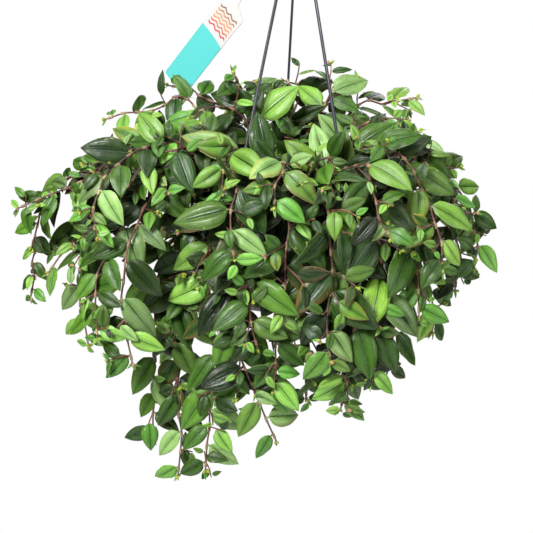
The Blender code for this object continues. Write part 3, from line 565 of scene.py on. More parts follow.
def welded(node):
    """A CAD mesh's points with doubles merged, and each point's neighbours."""
    mesh = node.data
    keys, points, index = {}, [], []
    for vertex in mesh.vertices:
        key = tuple(round(c * WELD_STEPS) for c in vertex.co)
        if key not in keys:
            keys[key] = len(points)
            points.append(vertex.co.copy())
        index.append(keys[key])
    near = [set() for _ in points]
    for polygon in mesh.polygons:
        corners = [index[i] for i in polygon.vertices]
        for a in corners:
            near[a].update(b for b in corners if b != a)
    return points, near


def next_ring(near, ring, seen):
    """The points next to a ring that are not in it or seen before."""
    return set().union(*(near[i] for i in ring)) - seen - set(ring)


def keel_and_edges(corners):
    """A section's three corners, the keel first: the edges are the two that are farthest apart."""
    a, b, c = corners
    return max(((a, b, c), (b, c, a), (c, a, b)), key=lambda turned: (turned[1] - turned[2]).length)


def read_leaf(points, near, tip):
    """The leaf that ends in a tip, with the stem points at its foot and its own points, or None."""
    seen, rings, ring = {tip}, [], near[tip]
    for _ in range(3):
        rings.append(ring)
        seen |= ring
        ring = next_ring(near, ring, seen)
        if len(rings) < 3 and len(ring) != 3:
            return None
    if len(ring) != 4:
        return None
    far, wide, neck = ([points[i] for i in corners] for corners in rings)
    base = mean(neck)
    keel, edge_a, edge_b = keel_and_edges(wide)
    far_keel = keel_and_edges(far)[0]
    face = ((edge_a + edge_b) / 2 - keel).normalized()
    # spine(u) = base + A u - D u*u passes through the two measured sections and the tip
    rows, wanted = [], []
    lift = face * LEAF_THICK
    for u, place in ((LEAF_WIDE, keel + lift), (LEAF_FAR, far_keel + lift), (1.0, points[tip])):
        rows.append((u, -u * u))
        wanted.append(tuple(place - base))
    (ahead, drop), *_ = np.linalg.lstsq(np.array(rows), np.array(wanted), rcond=None)
    length = Vector(ahead).length
    width = (edge_a - edge_b).length / leaf_outline(LEAF_WIDE)
    return Leaf(base, ahead, face, length, width, max(0.0, Vector(drop).dot(face) / length)), ring, seen


class Shoot:
    """A shoot as read from the CAD: its root, nodes and apex, and the leaf at each node."""

    def __init__(self, name):
        self.name = name
        points, near = welded(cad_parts[name])
        apex, leaves, used = None, [], set()
        for tip, others in enumerate(near):
            if len(others) != 3:
                continue
            ring = [points[i] for i in others]
            if max((a - b).length for a in ring for b in ring) < STEM_END:
                apex = tip
                continue
            found = read_leaf(points, near, tip)
            if found:
                leaves.append(found)
                used |= found[2]
        rings, seen, ring = [], {apex} | used, near[apex] - used
        while ring:
            rings.append(ring)
            seen |= ring
            ring = next_ring(near, ring, seen)
        rings.reverse()
        centres = [mean([points[i] for i in ring]) for ring in rings]
        self.root, self.apex = centres[0], points[apex]
        self.nodes = [(centres[i] + centres[i + 1]) / 2 for i in range(1, len(centres) - 1, 2)]
        self.leaves = [None] * len(self.nodes)
        for leaf, foot, _ in leaves:
            for i in range(len(self.nodes)):
                if foot & rings[2 * i + 1] and foot & rings[2 * i + 2]:
                    self.leaves[i] = leaf


# ---- leaves

# Screen colours, each with how common it is.
TOPS = ((58, 98, 24, 30), (84, 130, 38, 26), (120, 168, 64, 20), (150, 194, 108, 14), (150, 208, 64, 2),
        (116, 82, 60, 1), (38, 70, 20, 14))
YOUNG_TOPS = ((116, 178, 66, 5), (142, 202, 82, 5), (166, 220, 92, 3), (92, 152, 54, 5))
UNDERS = ((165, 167, 83, 5), (183, 185, 111, 4), (147, 96, 104, 3), (185, 147, 132, 2), (152, 193, 96, 8))
STEMS = ((112, 54, 54, 5), (74, 36, 40, 5), (150, 88, 78, 2), (104, 78, 52, 2))
BRONZES = ((175, 108, 53, 2), (140, 71, 73, 2), (228, 198, 71, 1))
PINK_NODE, GREEN_STEM = srgb(200, 146, 124), srgb(133, 158, 72)
PALE_HAIR = srgb(226, 214, 196)
BUD_GREEN, BUD_PINK = srgb(186, 204, 66), srgb(204, 150, 128)
BARK, PERLITE = srgb(74, 50, 34), srgb(214, 208, 196)


def pick(dice, table):
    """A colour from a table, as linear light."""
    return srgb(*dice.choices(table, [row[3] for row in table])[0][:3])


def spread(dice, reach):
    """A way at random, up to a reach along each axis."""
    return Vector([dice.uniform(-reach, reach) for _ in range(3)])


def add_leaf(build, leaf, light, dice, young=False, grid=FULL_GRID):
    """A thin closed blade: two puffed halves beside a sunk midrib, with a bent, waved, pointed tip."""
    top = pick(dice, YOUNG_TOPS if young else TOPS) * dice.uniform(*LEAF_LIGHTNESS)
    top = top * min(1, BRIGHTEST / top[1])
    under = pick(dice, UNDERS) * dice.uniform(0.85, 1.15)
    if young:
        under = under * 0.4 + top * 0.6
    bend, hook, twist, fold, puff, curl, beats, phase, swing = [
        dice.uniform(*reach) for reach in (BEND, HOOK, TWIST, FOLD, PUFF, CURL, BEATS, PHASE, SWING)]
    rows, columns = grid
    u = np.linspace(0, 1, rows)[:, None] ** 1.05     # along the blade
    v = np.linspace(-1, 1, columns)                  # across it
    off = np.abs(v)
    half = np.array([[leaf_outline(x)] for x in u[:, 0]]) * leaf.width / 2
    half = np.maximum(half, min(0.0014, leaf.width * 0.12) * np.clip(1 - u / 0.12, 0, 1))
    half[-1] = TIP_HALF
    base, along, face, side = (np.array(way) for way in (leaf.base, leaf.along, leaf.face, leaf.side))
    spine = (base + u * along * leaf.length - (u ** 2 * leaf.arch + u ** 5 * hook) * face * leaf.length
             + u ** 2 * bend * side * leaf.length)
    twist = twist * u ** 1.5
    sides = (np.cos(twist) * side + np.sin(twist) * face)[:, None]
    faces = (np.cos(twist) * face - np.sin(twist) * side)[:, None]
    profile = fold * off + puff * np.sin(math.pi * off ** 0.85) - curl * off ** 4
    wave = np.sin(beats * math.tau * u + phase + 1.3 * np.sign(v)) * off ** 2 * swing
    rise = (profile * (1 - 0.25 * u) + wave) * half
    front = spine[:, None] + sides * (half * v)[..., None] + faces * rise[..., None]
    rib = np.exp(-(v / 0.12) ** 2) * (1 - u) * min(0.0005, leaf.width * 0.03)
    thick = BLADE_THIN + BLADE_SWELL * (1 - off ** 2) * np.sin(math.pi * np.clip(u, 0.03, 0.97)) + rib
    back = front - faces * thick[..., None]
    shade = (1 + 0.20 * (off - 0.5) * dice.uniform(0.3, 1) - 0.5 * np.clip(0.2 - u, 0, 1))[..., None]
    tops = top * shade
    if not young and dice.random() < BRONZE_CHANCE:     # it is going over: bronze towards its tip and edges
        share = np.clip(off * 0.9 + u * 0.5 - 0.75, 0, 0.8)[..., None]
        tops = tops * (1 - share) + pick(dice, BRONZES) * share
    uv = np.stack(np.broadcast_arrays(u * 0.998 + dice.randrange(60), v / 2 + 0.5), axis=-1)
    # light is painted shade: both sides of the blade are darkened where other leaves cover it
    build.add_sheet(grid, (front, back), (tops * light, under * shade * light), (TOP, UNDER), uv)
    return top


# ---- stems, buds and roots

def smooth_path(places, steps):
    """A curve through places, with the same steps between each pair."""
    places = [np.array(p) for p in places]
    padded = [2 * places[0] - places[1]] + places + [2 * places[-1] - places[-2]]
    path = []
    for i in range(1, len(padded) - 2):
        a, b, c, d = padded[i - 1:i + 3]
        for t in steps:
            path.append(0.5 * (2 * b + (c - a) * t + (2 * a - 5 * b + 4 * c - d) * t * t
                               + (3 * b - a - 3 * c + d) * t ** 3))
    path.append(places[-1])
    return np.array(path)


def add_stem(build, places, ends, dice, youth=0.0, steps=STEPS, around=8):
    """A jointed stem: swollen and paler at its nodes, darker between them, greener towards its tip."""
    thick, thin = ends
    path = smooth_path(places, steps)
    share = np.arange(len(path)) / (len(path) - 1)
    beat = np.append(np.tile(steps, len(places) - 1), 0)
    at_node = np.exp(-(np.minimum(beat, 1 - beat) / 0.13) ** 2)
    at_node[:2] = 0
    radii = (thick + (thin - thick) * share) * (1 + 0.38 * at_node)
    radii[-1] *= 0.5
    body = pick(dice, STEMS) * dice.uniform(0.5, 1.1)
    tip = GREEN_STEM * dice.uniform(0.7, 1.1)
    green = np.clip(youth + (share - 0.75) * 1.6, 0, 1)[:, None] * 0.8
    band = at_node[:, None] * dice.uniform(0.2, 0.7)
    tints = (body * (1 - green) + tip * green) * (1 - band) + PINK_NODE * band
    add_tube(build, path, radii, tints, STEM, around)


def add_sheath(build, node, ahead, tint, dice):
    """The tube that a leaf's foot makes round its stem, above the node."""
    heights = np.array((-0.0006, 0.0006, 0.0028, 0.0046))[:, None]
    radii = SHEATH_RADIUS * np.array((1.25, 1.55, 1.45, 1.62))
    mixed = tint * 0.40 + PINK_NODE * 0.60 * dice.uniform(0.6, 1.2)
    add_tube(build, np.array(node) + heights * np.array(ahead), radii, mixed, STEM)


def add_hairs(build, place, ahead, dice):
    """A torn papery sheath: a few stiff pale bristles round a node."""
    for _ in range(dice.choice((3, 4, 5, 6))):
        way = (spread(dice, 1).normalized() + ahead * 0.5).normalized()
        reach = dice.uniform(0.0030, 0.0062)
        start = place + way * 0.0008
        middle = start + way * reach * 0.5 + spread(dice, 0.0003)
        path = [start, middle, start + way * reach - UP * reach * 0.15]
        add_tube(build, path, (0.00034, 0.00024, 0.00006), PALE_HAIR * dice.uniform(0.75, 1.0), BUD, 4)


def add_foot(build, node, leaf, tint):
    """The narrow folded foot that joins a blade to its sheath."""
    start, end = np.array(node), np.array(leaf.spine(0.03))
    radii = np.array((0.0011, 0.0010, 0.0008, 0.0004)) * min(1, leaf.width / 0.014)
    path = start + np.linspace(0.15, 1, 4)[:, None] * (end - start)
    add_tube(build, path, radii, tint * 0.9 + PINK_NODE * 0.1, STEM, 6)


def add_buds(build, place, way, room, dice):
    """A knot of small yellow-green buds among narrow bracts."""
    way = way.normalized()
    for _ in range(dice.choice((2, 3, 4))):
        size = dice.uniform(0.0010, 0.0019)
        out = (way + spread(dice, 0.9)).normalized()
        tint = (BUD_GREEN if dice.random() < GREEN_CHANCE else BUD_PINK) * dice.uniform(0.8, 1.1)
        add_ball(build, place + out * size * 1.7, (size, size * 1.35), tint, BUD, out)
    for _ in range(dice.choice((1, 2, 3))):
        out = way + spread(dice, 0.9)
        length = dice.uniform(0.006, 0.011)
        face = outward(place) + spread(dice, 0.8)
        bract = Leaf(place, out, face, length, length * 0.34, dice.uniform(0, 0.5))
        add_leaf(build, bract, room.light(bract), dice, True, BRACT_GRID)


def add_root(build, place, dice):
    """A fine pale root that hangs from a node."""
    here, way = place.copy(), (spread(dice, 0.6) - UP * 0.3).normalized()
    path = []
    for _ in range(6):
        path.append(here.copy())
        way = (way + spread(dice, 0.35) - UP * 0.35).normalized()
        here = here + way * dice.uniform(0.0022, 0.0040)
    add_tube(build, path, np.linspace(0.00036, 0.00014, 6), PALE_HAIR * dice.uniform(0.6, 0.95), BUD, 5)


# ---- room for sprigs

def outward(place):
    """The way leaves at a place turn their faces: out of the plant's front or back, and up to the light."""
    away = place - PLANT_MIDDLE
    away = Vector((0.45 * away.x, away.y + math.copysign(0.18, away.y - 0.06), 0.45 * away.z))
    return (away.normalized() + UP * 0.25).normalized()


def bearing(degrees):
    """The level ways outward and sideways at an angle round the pot."""
    radial = round_point(1, math.radians(degrees))
    return radial, Vector((-radial.y, radial.x, 0))


def strand_line(name):
    """Where a strand passes the hub's underside and the rim."""
    radial = bearing(STRAND_ANGLES[name])[0]
    return UP * HUB_Z + radial * HUB_RING, RIM_CENTRE + radial * EAR_RADIUS


class Room:
    """What is already taken: the CAD, and the sprigs grown since."""

    def __init__(self):
        self.trees, self.points, self.faces = [], [], []
        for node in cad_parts.values():
            mesh = node.data
            self.take([([v.co.copy() for v in mesh.vertices], [p.vertices for p in mesh.polygons])])
        self.index()
        corners = [v.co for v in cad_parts["label"].data.vertices]
        self.label_end = mean(sorted(corners, key=lambda corner: corner.dot(LABEL_DOWN))[-4:])
        self.low, self.high = CAD_BOX[0] - Vector((BOX_SPARE,) * 3), CAD_BOX[1] + Vector((BOX_SPARE,) * 3)

    def take(self, shapes):
        for points, faces in shapes:
            start = len(self.points)
            self.points += points
            self.faces += [[start + i for i in face] for face in faces]

    def index(self):
        self.trees.append(BVHTree.FromPolygons(self.points, self.faces))
        self.points, self.faces = [], []

    def free(self, shapes):
        """Whether shapes cross nothing that is taken."""
        if len(self.points) > FRESH_POINTS:
            self.index()
        recent = [BVHTree.FromPolygons(self.points, self.faces)] if self.points else []
        trees = (BVHTree.FromPolygons(points, faces) for points, faces in shapes)
        return not any(tree.overlap(other) for tree in trees for other in self.trees + recent)

    def in_reach(self, place):
        """Whether a place is near the CAD, and within its box."""
        inside = all(a < c < b for a, c, b in zip(self.low, place, self.high))
        return inside and self.trees[0].find_nearest(place, SPRIG_REACH)[0] is not None

    def hides(self, place):
        """Whether a place is in front of a strand above the plant, or of the label."""
        for name in ("left", "right"):
            hub, eye = strand_line(name)
            here = eye.lerp(hub, (place.z - eye.z) / (hub.z - eye.z))
            if place.z > RIM_Z + SHOWN_HEIGHT and place.y < here.y and abs(place.x - here.x) < SHOWN_HALF:
                return True
        down, across = LABEL_DOWN.normalized(), LABEL_ACROSS.normalized()
        off = place - self.label_end
        along, aside = np.linalg.solve([[down.x, across.x], [down.z, across.z]], [off.x, off.z])
        beside = -LABEL_LENGTH < along < 2 * SHOWN_HALF and abs(aside) < SHOWN_LABEL
        return beside and off.y < down.y * along + across.y * aside

    def light(self, leaf):
        """Painted shade on a leaf's colour: the more of its ways out CAD leaves stand across, the darker it
        is painted.
        """
        place = leaf.spine(0.5)
        way, hits = outward(place), 0
        for lean in COVER_LEANS:
            ray = (way + Vector(lean)).normalized()
            hits += self.trees[0].ray_cast(place + ray * 0.003, ray, COVER_REACH)[0] is not None
        return 1 - COVERED_PAINTED_SHADE * (hits / len(COVER_LEANS))


def stalk_room(places):
    """A thin three-sided tube along a sprig's stem, for overlap tests."""
    points = []
    for i, place in enumerate(places):
        along = (places[min(i + 1, len(places) - 1)] - places[max(i - 1, 0)]).normalized()
        side = along.orthogonal().normalized()
        other = along.cross(side)
        points += [place + (side * math.cos(t) + other * math.sin(t)) * 0.0010 for t in (0, 2.1, 4.2)]
    return points, grid_faces(len(places), 3, wrap=True)


# ---- sprigs and shoots

def plan_sprig(start, way, count, gap, leaf_length, droop, dice):
    """The places of a sprig's nodes and its leaves."""
    places, leaves, here = [start], [], start.copy()
    way = way.normalized()
    sideways = way.cross(outward(start))
    sideways = sideways.normalized() if sideways.length > 0.1 else way.orthogonal().normalized()
    flip = dice.choice((-1, 1))
    for i in range(count):
        here = here + way * gap * (1 - 0.10 * i)
        way = (way + spread(dice, 0.22) - UP * droop).normalized()
        places.append(here.copy())
        flip = -flip
        length = leaf_length * (1 - 0.40 * i / max(1, count - 1)) * dice.uniform(0.8, 1.15)
        lean = math.radians(dice.uniform(34, 78))
        along = way * math.cos(lean) + sideways * (flip * math.sin(lean)) + spread(dice, 0.28)
        face = outward(here) + way * 0.25 + spread(dice, 0.50)
        base = here + along.normalized() * 0.0016
        width = length * dice.uniform(0.48, 0.66)
        leaves.append(Leaf(base, along, face, length, width, dice.uniform(0.04, 0.32)))
    return places, leaves


def try_sprig(room, start, ways, dice, count, gap, leaf_length, droop):
    """A sprig that finds room in one of several ways out, and smaller after each, or None."""
    for way in ways:
        places, leaves = plan_sprig(start, way, count, gap, leaf_length, droop, dice)
        gap, leaf_length = gap * SPRIG_SHRINK, leaf_length * SPRIG_SHRINK
        if not all(room.in_reach(leaf.spine(1)) for leaf in leaves):
            continue
        if any(room.hides(leaf.spine(u)) for leaf in leaves for u in (0, 0.3, 0.7, 1)):
            continue
        first = places[0].lerp(places[1], min(0.7, 0.0045 / (places[1] - places[0]).length))
        shapes = [leaf.room() for leaf in leaves] + [stalk_room([first] + places[1:])]
        if room.free(shapes):
            room.take(shapes)
            return places, leaves
    return None


def grow_sprig(build, shoot_size, node, ahead, out, share, room, dice):
    """A short side shoot with its own leaves, bigger in the body of the plant than towards a shoot's tip."""
    away = outward(node)
    ways = [ahead * dice.uniform(0.0, 0.9) + out * dice.uniform(-0.9, 0.9) + away * dice.uniform(0.0, 1.0)
            + spread(dice, 0.6) for _ in range(SPRIG_TRIES)]
    number = dice.choice((2, 2, 3, 3, 4)) if share < 0.7 else dice.choice((1, 2, 2))
    reach = shoot_size * dice.uniform(0.50, 0.85) * (1 - 0.35 * share)
    found = try_sprig(room, node, ways, dice, number, reach * 0.42, reach, 0.12)
    if not found:
        return
    places, leaves = found
    end = places[-1] + (places[-1] - places[-2]).normalized() * 0.003
    add_stem(build, places + [end], SPRIG_RADII, dice, 0.25, FEW_STEPS, 5)
    for k, small in enumerate(leaves):
        young = dice.random() < (YOUNG_LOW_CHANCE if k < 2 else YOUNG_CHANCE)
        add_leaf(build, small, room.light(small), dice, young, SMALL_GRID)
    if dice.random() < BUD_CHANCE:
        add_buds(build, end, end - places[-1], room, dice)


def grow_shoot(shoot, room, dice):
    """One piece: the stem, its leaves, and the sprigs, buds, bristles and roots on it."""
    build = Build()
    places = [shoot.root - UP * 0.002] + shoot.nodes + [shoot.apex]
    add_stem(build, places, STEM_RADII, dice)
    size = max(leaf.length for leaf in shoot.leaves if leaf)
    for i, (node, leaf) in enumerate(zip(shoot.nodes, shoot.leaves)):
        ahead = (places[min(i + 2, len(places) - 1)] - places[i]).normalized()
        share = (i + 1) / len(shoot.nodes)
        if leaf:
            young = share > 0.9 and dice.random() < YOUNG_CHANCE
            tint = add_leaf(build, leaf, room.light(leaf), dice, young)
            add_sheath(build, node, ahead, tint, dice)
            add_foot(build, node, leaf, tint)
        out = (leaf.base - node).normalized() if leaf else ahead.orthogonal().normalized()
        for chance in SPRIG_CHANCES:
            if dice.random() < chance * (1 - 0.55 * share):
                grow_sprig(build, size, node, ahead, out, share, room, dice)
        if dice.random() < HAIR_CHANCE:
            add_hairs(build, node, ahead, dice)
        if dice.random() < ROOT_CHANCE:
            add_root(build, node, dice)
    way = (shoot.apex - shoot.nodes[-1]).normalized()
    ways = [way + spread(dice, 0.3) for _ in range(10)]
    found = try_sprig(room, shoot.apex - way * 0.004, ways, dice, 2, size * 0.10, size * 0.42, 0.1)
    if found:
        for small in found[1]:
            add_leaf(build, small, room.light(small), dice, True, SMALL_GRID)
    add_buds(build, shoot.apex, way, room, dice)
    piece = build.finish(shoot.name + "_foliage", PLANT_MATERIALS)
    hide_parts(shoot.name)
    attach(piece, "root")


# ---- pot, compost, hanger and tag

def round_rim(radius, degrees, height):
    """A point round the pot's axis, its height from the rim."""
    return RIM_CENTRE + round_point(radius, math.radians(degrees), height)


def revolve(profile, centre, sides):
    """A closed outline of (radius, height) points, anticlockwise, turned round a vertical axis."""
    shape, rings = bmesh.new(), []
    for side in range(sides):
        turn = math.tau * side / sides
        rings.append([shape.verts.new(centre + round_point(r, turn, z)) for r, z in profile])
    for here, there in zip(rings, rings[1:] + rings[:1]):
        for i in range(len(profile)):
            j = (i + 1) % len(profile)
            shape.faces.new((here[i], there[i], there[j], here[j]))
    return shape


def slab(size, place, degrees, bevel):
    """A block, with rounded edges if it has a bevel, turned about the vertical."""
    shape = bmesh.new()
    bmesh.ops.create_cube(shape, size=1, matrix=Matrix.Diagonal((*size, 1)))
    if bevel:
        bmesh.ops.bevel(shape, geom=shape.edges[:], offset=bevel, segments=2, affect="EDGES")
    turned = Matrix.Translation(place) @ Matrix.Rotation(math.radians(degrees), 4, "Z")
    bmesh.ops.transform(shape, matrix=turned, verts=shape.verts)
    return shape


def apply_boolean(target, tool, operation):
    """Joins a tool to its target or cuts it out, and removes the tool."""
    change = target.modifiers.new("cut", "BOOLEAN")
    change.object, change.operation = tool, operation
    bpy.context.view_layer.objects.active = target
    with bpy.context.temp_override(object=target, active_object=target, selected_objects=[target]):
        bpy.ops.object.modifier_apply(modifier="cut")
    bpy.data.objects.remove(tool)


def belly(inset, depth):
    """The curve from the pot's base out to its wall, without its two ends."""
    turns = [math.radians(90 * step / (BELLY_STEPS + 1) - 90) for step in range(1, BELLY_STEPS + 1)]
    return [(BASE_RADIUS - inset + (WALL_LOW_RADIUS - BASE_RADIUS) * math.cos(turn),
             -WALL_LOW_DEPTH + (depth - WALL_LOW_DEPTH) * math.sin(turn)) for turn in turns]


def make_pot():
    material = plastic_material("pot_plastic", (0.016, 0.0155, 0.0175), (0.036, 0.035, 0.040), 0.34)
    outside = [(BASE_RADIUS - 0.0008, -POT_HEIGHT), (BASE_RADIUS + 0.0004, -POT_HEIGHT + 0.0005)]
    outside += belly(0, POT_HEIGHT)
    for step in range(WALL_BANDS + 1):
        share = step / WALL_BANDS
        drawn_in = WALL_BAND_DEPTH if step % 2 else 0.0
        outside.append((WALL_LOW_RADIUS + (WALL_TOP_RADIUS - WALL_LOW_RADIUS) * share - drawn_in,
                        -WALL_LOW_DEPTH + (WALL_LOW_DEPTH - RIM_DEPTH - 0.0005) * share))
    outside += [(WALL_TOP_RADIUS + 0.0006, -RIM_DEPTH), (RIM_RADIUS - 0.0008, -RIM_DEPTH),
                (RIM_RADIUS - 0.0001, -0.0034), (RIM_RADIUS, -0.0012), (RIM_RADIUS - 0.0004, -0.0004),
                (RIM_RADIUS - 0.0012, 0), (WALL_TOP_RADIUS - WALL + 0.0006, 0),
                (WALL_TOP_RADIUS - WALL, -0.0006)]
    floor = -POT_HEIGHT + FLOOR_LIFT
    inside = [(WALL_LOW_RADIUS - WALL, -WALL_LOW_DEPTH)] + belly(WALL, POT_HEIGHT - FLOOR_LIFT - WALL)[::-1]
    inside += [(FLOOR_HOLE, floor + WALL), (FLOOR_HOLE, floor), (BASE_RADIUS - FOOT_TOP_IN, floor),
               (BASE_RADIUS - FOOT_LOW_IN, -POT_HEIGHT)]
    pot = link_shape("pot_shell", revolve(outside + inside, RIM_CENTRE, 96), [material], 32)
    drains = bmesh.new()
    for drain in range(DRAINS):
        place = round_rim(DRAIN_RING, 360 / DRAINS * drain, -POT_HEIGHT)
        bmesh.ops.create_cone(drains, cap_ends=True, segments=20, radius1=DRAIN_RADIUS, radius2=DRAIN_RADIUS,
                              depth=DRAIN_CUT, matrix=Matrix.Translation(place))
    apply_boolean(pot, link_shape("drains", drains, [material]), "DIFFERENCE")
    ear_out, ear_in = WALL_TOP_RADIUS - WALL / 2, WALL_TOP_RADIUS - WALL - EAR_REACH
    ear = ((ear_out - ear_in, EAR_WIDTH, EAR_THICK), (ear_out + ear_in) / 2, EAR_BEVEL, "UNION")
    slot = ((SLOT_RADIAL, SLOT_ACROSS, SLOT_CUT), EAR_RADIUS, 0, "DIFFERENCE")
    for angle in STRAND_ANGLES.values():
        for size, radius, bevel, operation in (ear, slot):
            block = slab(size, round_rim(radius, angle, -EAR_THICK / 2 - EAR_DROP), angle, bevel)
            apply_boolean(pot, link_shape("block", block, [material]), operation)
    smooth(pot.data, 32)
    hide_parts("pot")
    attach(pot, "root")


def make_soil(dice):
    """The compost: a lumpy top with bark and perlite, over a plain body that the pot hides."""
    low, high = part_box("soil")
    top_radius = (high.x - low.x) / 2 - SOIL_GAP
    waves = [(dice.uniform(60, 900), dice.uniform(0, math.tau), dice.uniform(0, math.tau))
             for _ in range(SOIL_WAVES)]
    shape = bmesh.new()

    def bumps(spot):
        return SOIL_BUMP * sum(math.sin(pitch * spot.dot(round_point(1, way)) + phase) / (3 + pitch / 60)
                               for pitch, way, phase in waves)

    def new_ring(radius, height):
        """A ring of points, at a height that may depend on the place."""
        spots = [round_point(radius, math.tau * side / SOIL_SIDES) for side in range(SOIL_SIDES)]
        return [shape.verts.new(RIM_CENTRE + spot + UP * height(spot)) for spot in spots]

    def join(inner, outer):
        for s in range(SOIL_SIDES):
            t = (s + 1) % SOIL_SIDES
            shape.faces.new((inner[s], outer[s], outer[t], inner[t]))

    grid = []
    for r in range(SOIL_RINGS + 1):
        fade = min(1, (SOIL_RINGS - r) / 2)
        radius = top_radius * r / SOIL_RINGS
        grid.append(new_ring(radius, lambda spot: -SOIL_DEPTH + (bumps(spot) - 0.0006) * fade))
    for inner, outer in zip(grid, grid[1:]):
        join(inner, outer)
    bmesh.ops.remove_doubles(shape, verts=grid[0], dist=1e-5)
    last = grid[-1]
    for radius, height in SOIL_BODY:
        ring = new_ring(radius, lambda spot: height)
        join(last, ring)
        last = ring
    shape.faces.new(last)
    compost = link_shape("compost", shape, [soil_material()], 80)
    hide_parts("soil")
    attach(compost, "root")
    build = Build()
    for _ in range(SOIL_BITS):
        spot = round_point(top_radius * 0.96 * math.sqrt(dice.random()), dice.uniform(0, math.tau))
        place = RIM_CENTRE + spot + UP * (-SOIL_DEPTH + bumps(spot) - 0.0004)
        size = dice.uniform(*BIT_SIZES)
        tint = PERLITE if dice.random() < PERLITE_CHANCE else BARK * dice.uniform(0.4, 1.5)
        add_ball(build, place, (size, size * dice.uniform(0.5, 1.4)), tint, 0, spread(dice, 1))
    bits = build.finish("bark_and_perlite", [plain_material("bark", 0.9)])
    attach(bits, "root")


def rounded_bar(stages, radial, tangent, corners=5):
    """A closed body of level rounded sections, from the top: (middle, radial size, tangential size)."""
    shape, rows = bmesh.new(), []
    for middle, deep, wide in stages:
        corner = min(deep, wide) * 0.42
        row = []
        for quarter, (sx, sy) in enumerate(((1, 1), (-1, 1), (-1, -1), (1, -1))):
            for k in range(corners):
                turn = math.pi / 2 * (quarter + k / (corners - 1))
                a = sx * (deep / 2 - corner) + corner * math.cos(turn)
                b = sy * (wide / 2 - corner) + corner * math.sin(turn)
                row.append(shape.verts.new(middle + radial * a + tangent * b))
        rows.append(row)
    count = len(rows[0])
    for high, low in zip(rows, rows[1:]):
        for k in range(count):
            shape.faces.new((high[k], low[k], low[(k + 1) % count], high[(k + 1) % count]))
    shape.faces.new(list(reversed(rows[0])))
    shape.faces.new(rows[-1])
    return shape


def make_strand(name, material):
    """A moulded strand: a head that rests on the hub, a long shank and a barb snapped in under its ear."""
    radial, tangent = bearing(STRAND_ANGLES[name])
    hub, eye = strand_line(name)
    line = (eye - hub) / (hub.z - eye.z)
    seat = hub - line * (HUB_DISC + 0.0003)
    shank = eye - line * 0.006 - seat
    under = eye - UP * (EAR_DROP + EAR_THICK + 0.0003)
    # how far above the seat or below the ear, and the radial and tangential size there
    head = ((0.0030, 0.0022, 0.0020), (0.0024, 0.0034, 0.0042), (0.0014, 0.0040, 0.0052),
            (0.0002, 0.0040, 0.0052), (0, 0.0037, 0.0049), (-0.0001, SHANK_DEEP, SHANK_WIDE))
    barb = ((0, NECK_DEEP, SHANK_WIDE), (0.0001, 0.0024, 0.0062), (0.0003, 0.0026, 0.0066),
            (0.0012, 0.0026, 0.0066), (0.0024, 0.0020, 0.0036), (0.0030, 0.0013, 0.0018))
    stages = [(seat - line * up, deep, wide) for up, deep, wide in head]
    for step in range(1, SHANK_STEPS + 1):
        stages.append((seat + shank * (step / SHANK_STEPS), SHANK_DEEP, SHANK_WIDE))
    stages.append((eye + UP * 0.0008, NECK_DEEP, SHANK_WIDE))
    stages += [(under - UP * down, deep, wide) for down, deep, wide in barb]
    made = link_shape("strand_" + name + "_rod", rounded_bar(stages, radial, tangent), [material], 50)
    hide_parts("strand_" + name)
    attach(made, "root")


def make_hook(material):
    """The slotted hub and the open hook, in one moulding."""
    disc, top = HUB_Z + HUB_DISC, HUB_Z + HUB_HEIGHT
    profile = [(0.0006, HUB_Z), (HUB_RADIUS - 0.0010, HUB_Z), (HUB_RADIUS - 0.0003, HUB_Z + 0.0003),
               (HUB_RADIUS, HUB_Z + 0.0010), (HUB_RADIUS, disc - 0.0005), (HUB_RADIUS - 0.0005, disc),
               (HOOK_WIRE + 0.0018, disc), (HOOK_WIRE + 0.0009, disc + 0.0008), (HOOK_WIRE + 0.0004, top),
               (0.0006, top)]
    hub = link_shape("hook_and_hub", revolve(profile, Vector(), 64), [material])
    for name, degrees in STRAND_ANGLES.items():
        low, eye = strand_line(name)
        line = (eye - low) / (low.z - eye.z)
        ends = [(low - line * 2 * HUB_DISC, *HUB_SLOT), (low + line * HUB_DISC, *HUB_SLOT)]
        slot = rounded_bar(ends, *bearing(degrees), 3)
        apply_boolean(hub, link_shape("cut", slot, [material]), "DIFFERENCE")
    route = [(0, 0, top - 0.003), (0, 0, top + 0.003)]
    for degrees in np.linspace(HOOK_START, HOOK_END, HOOK_STEPS):
        x, z, _ = round_point(HOOK_RADIUS, math.radians(degrees))
        route.append((x, 0, HOOK_WIRE - HOOK_RADIUS + z))
    radii = [HOOK_WIRE] * HOOK_STEPS + [HOOK_WIRE * 0.93, HOOK_WIRE * 0.7]
    build = Build()
    add_tube(build, route, radii, (0, 0, 0), 0, around=16)
    apply_boolean(hub, build.finish("hook_rod", [material], 50), "UNION")
    smooth(hub.data, 40)
    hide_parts("hook")
    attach(hub, "root")


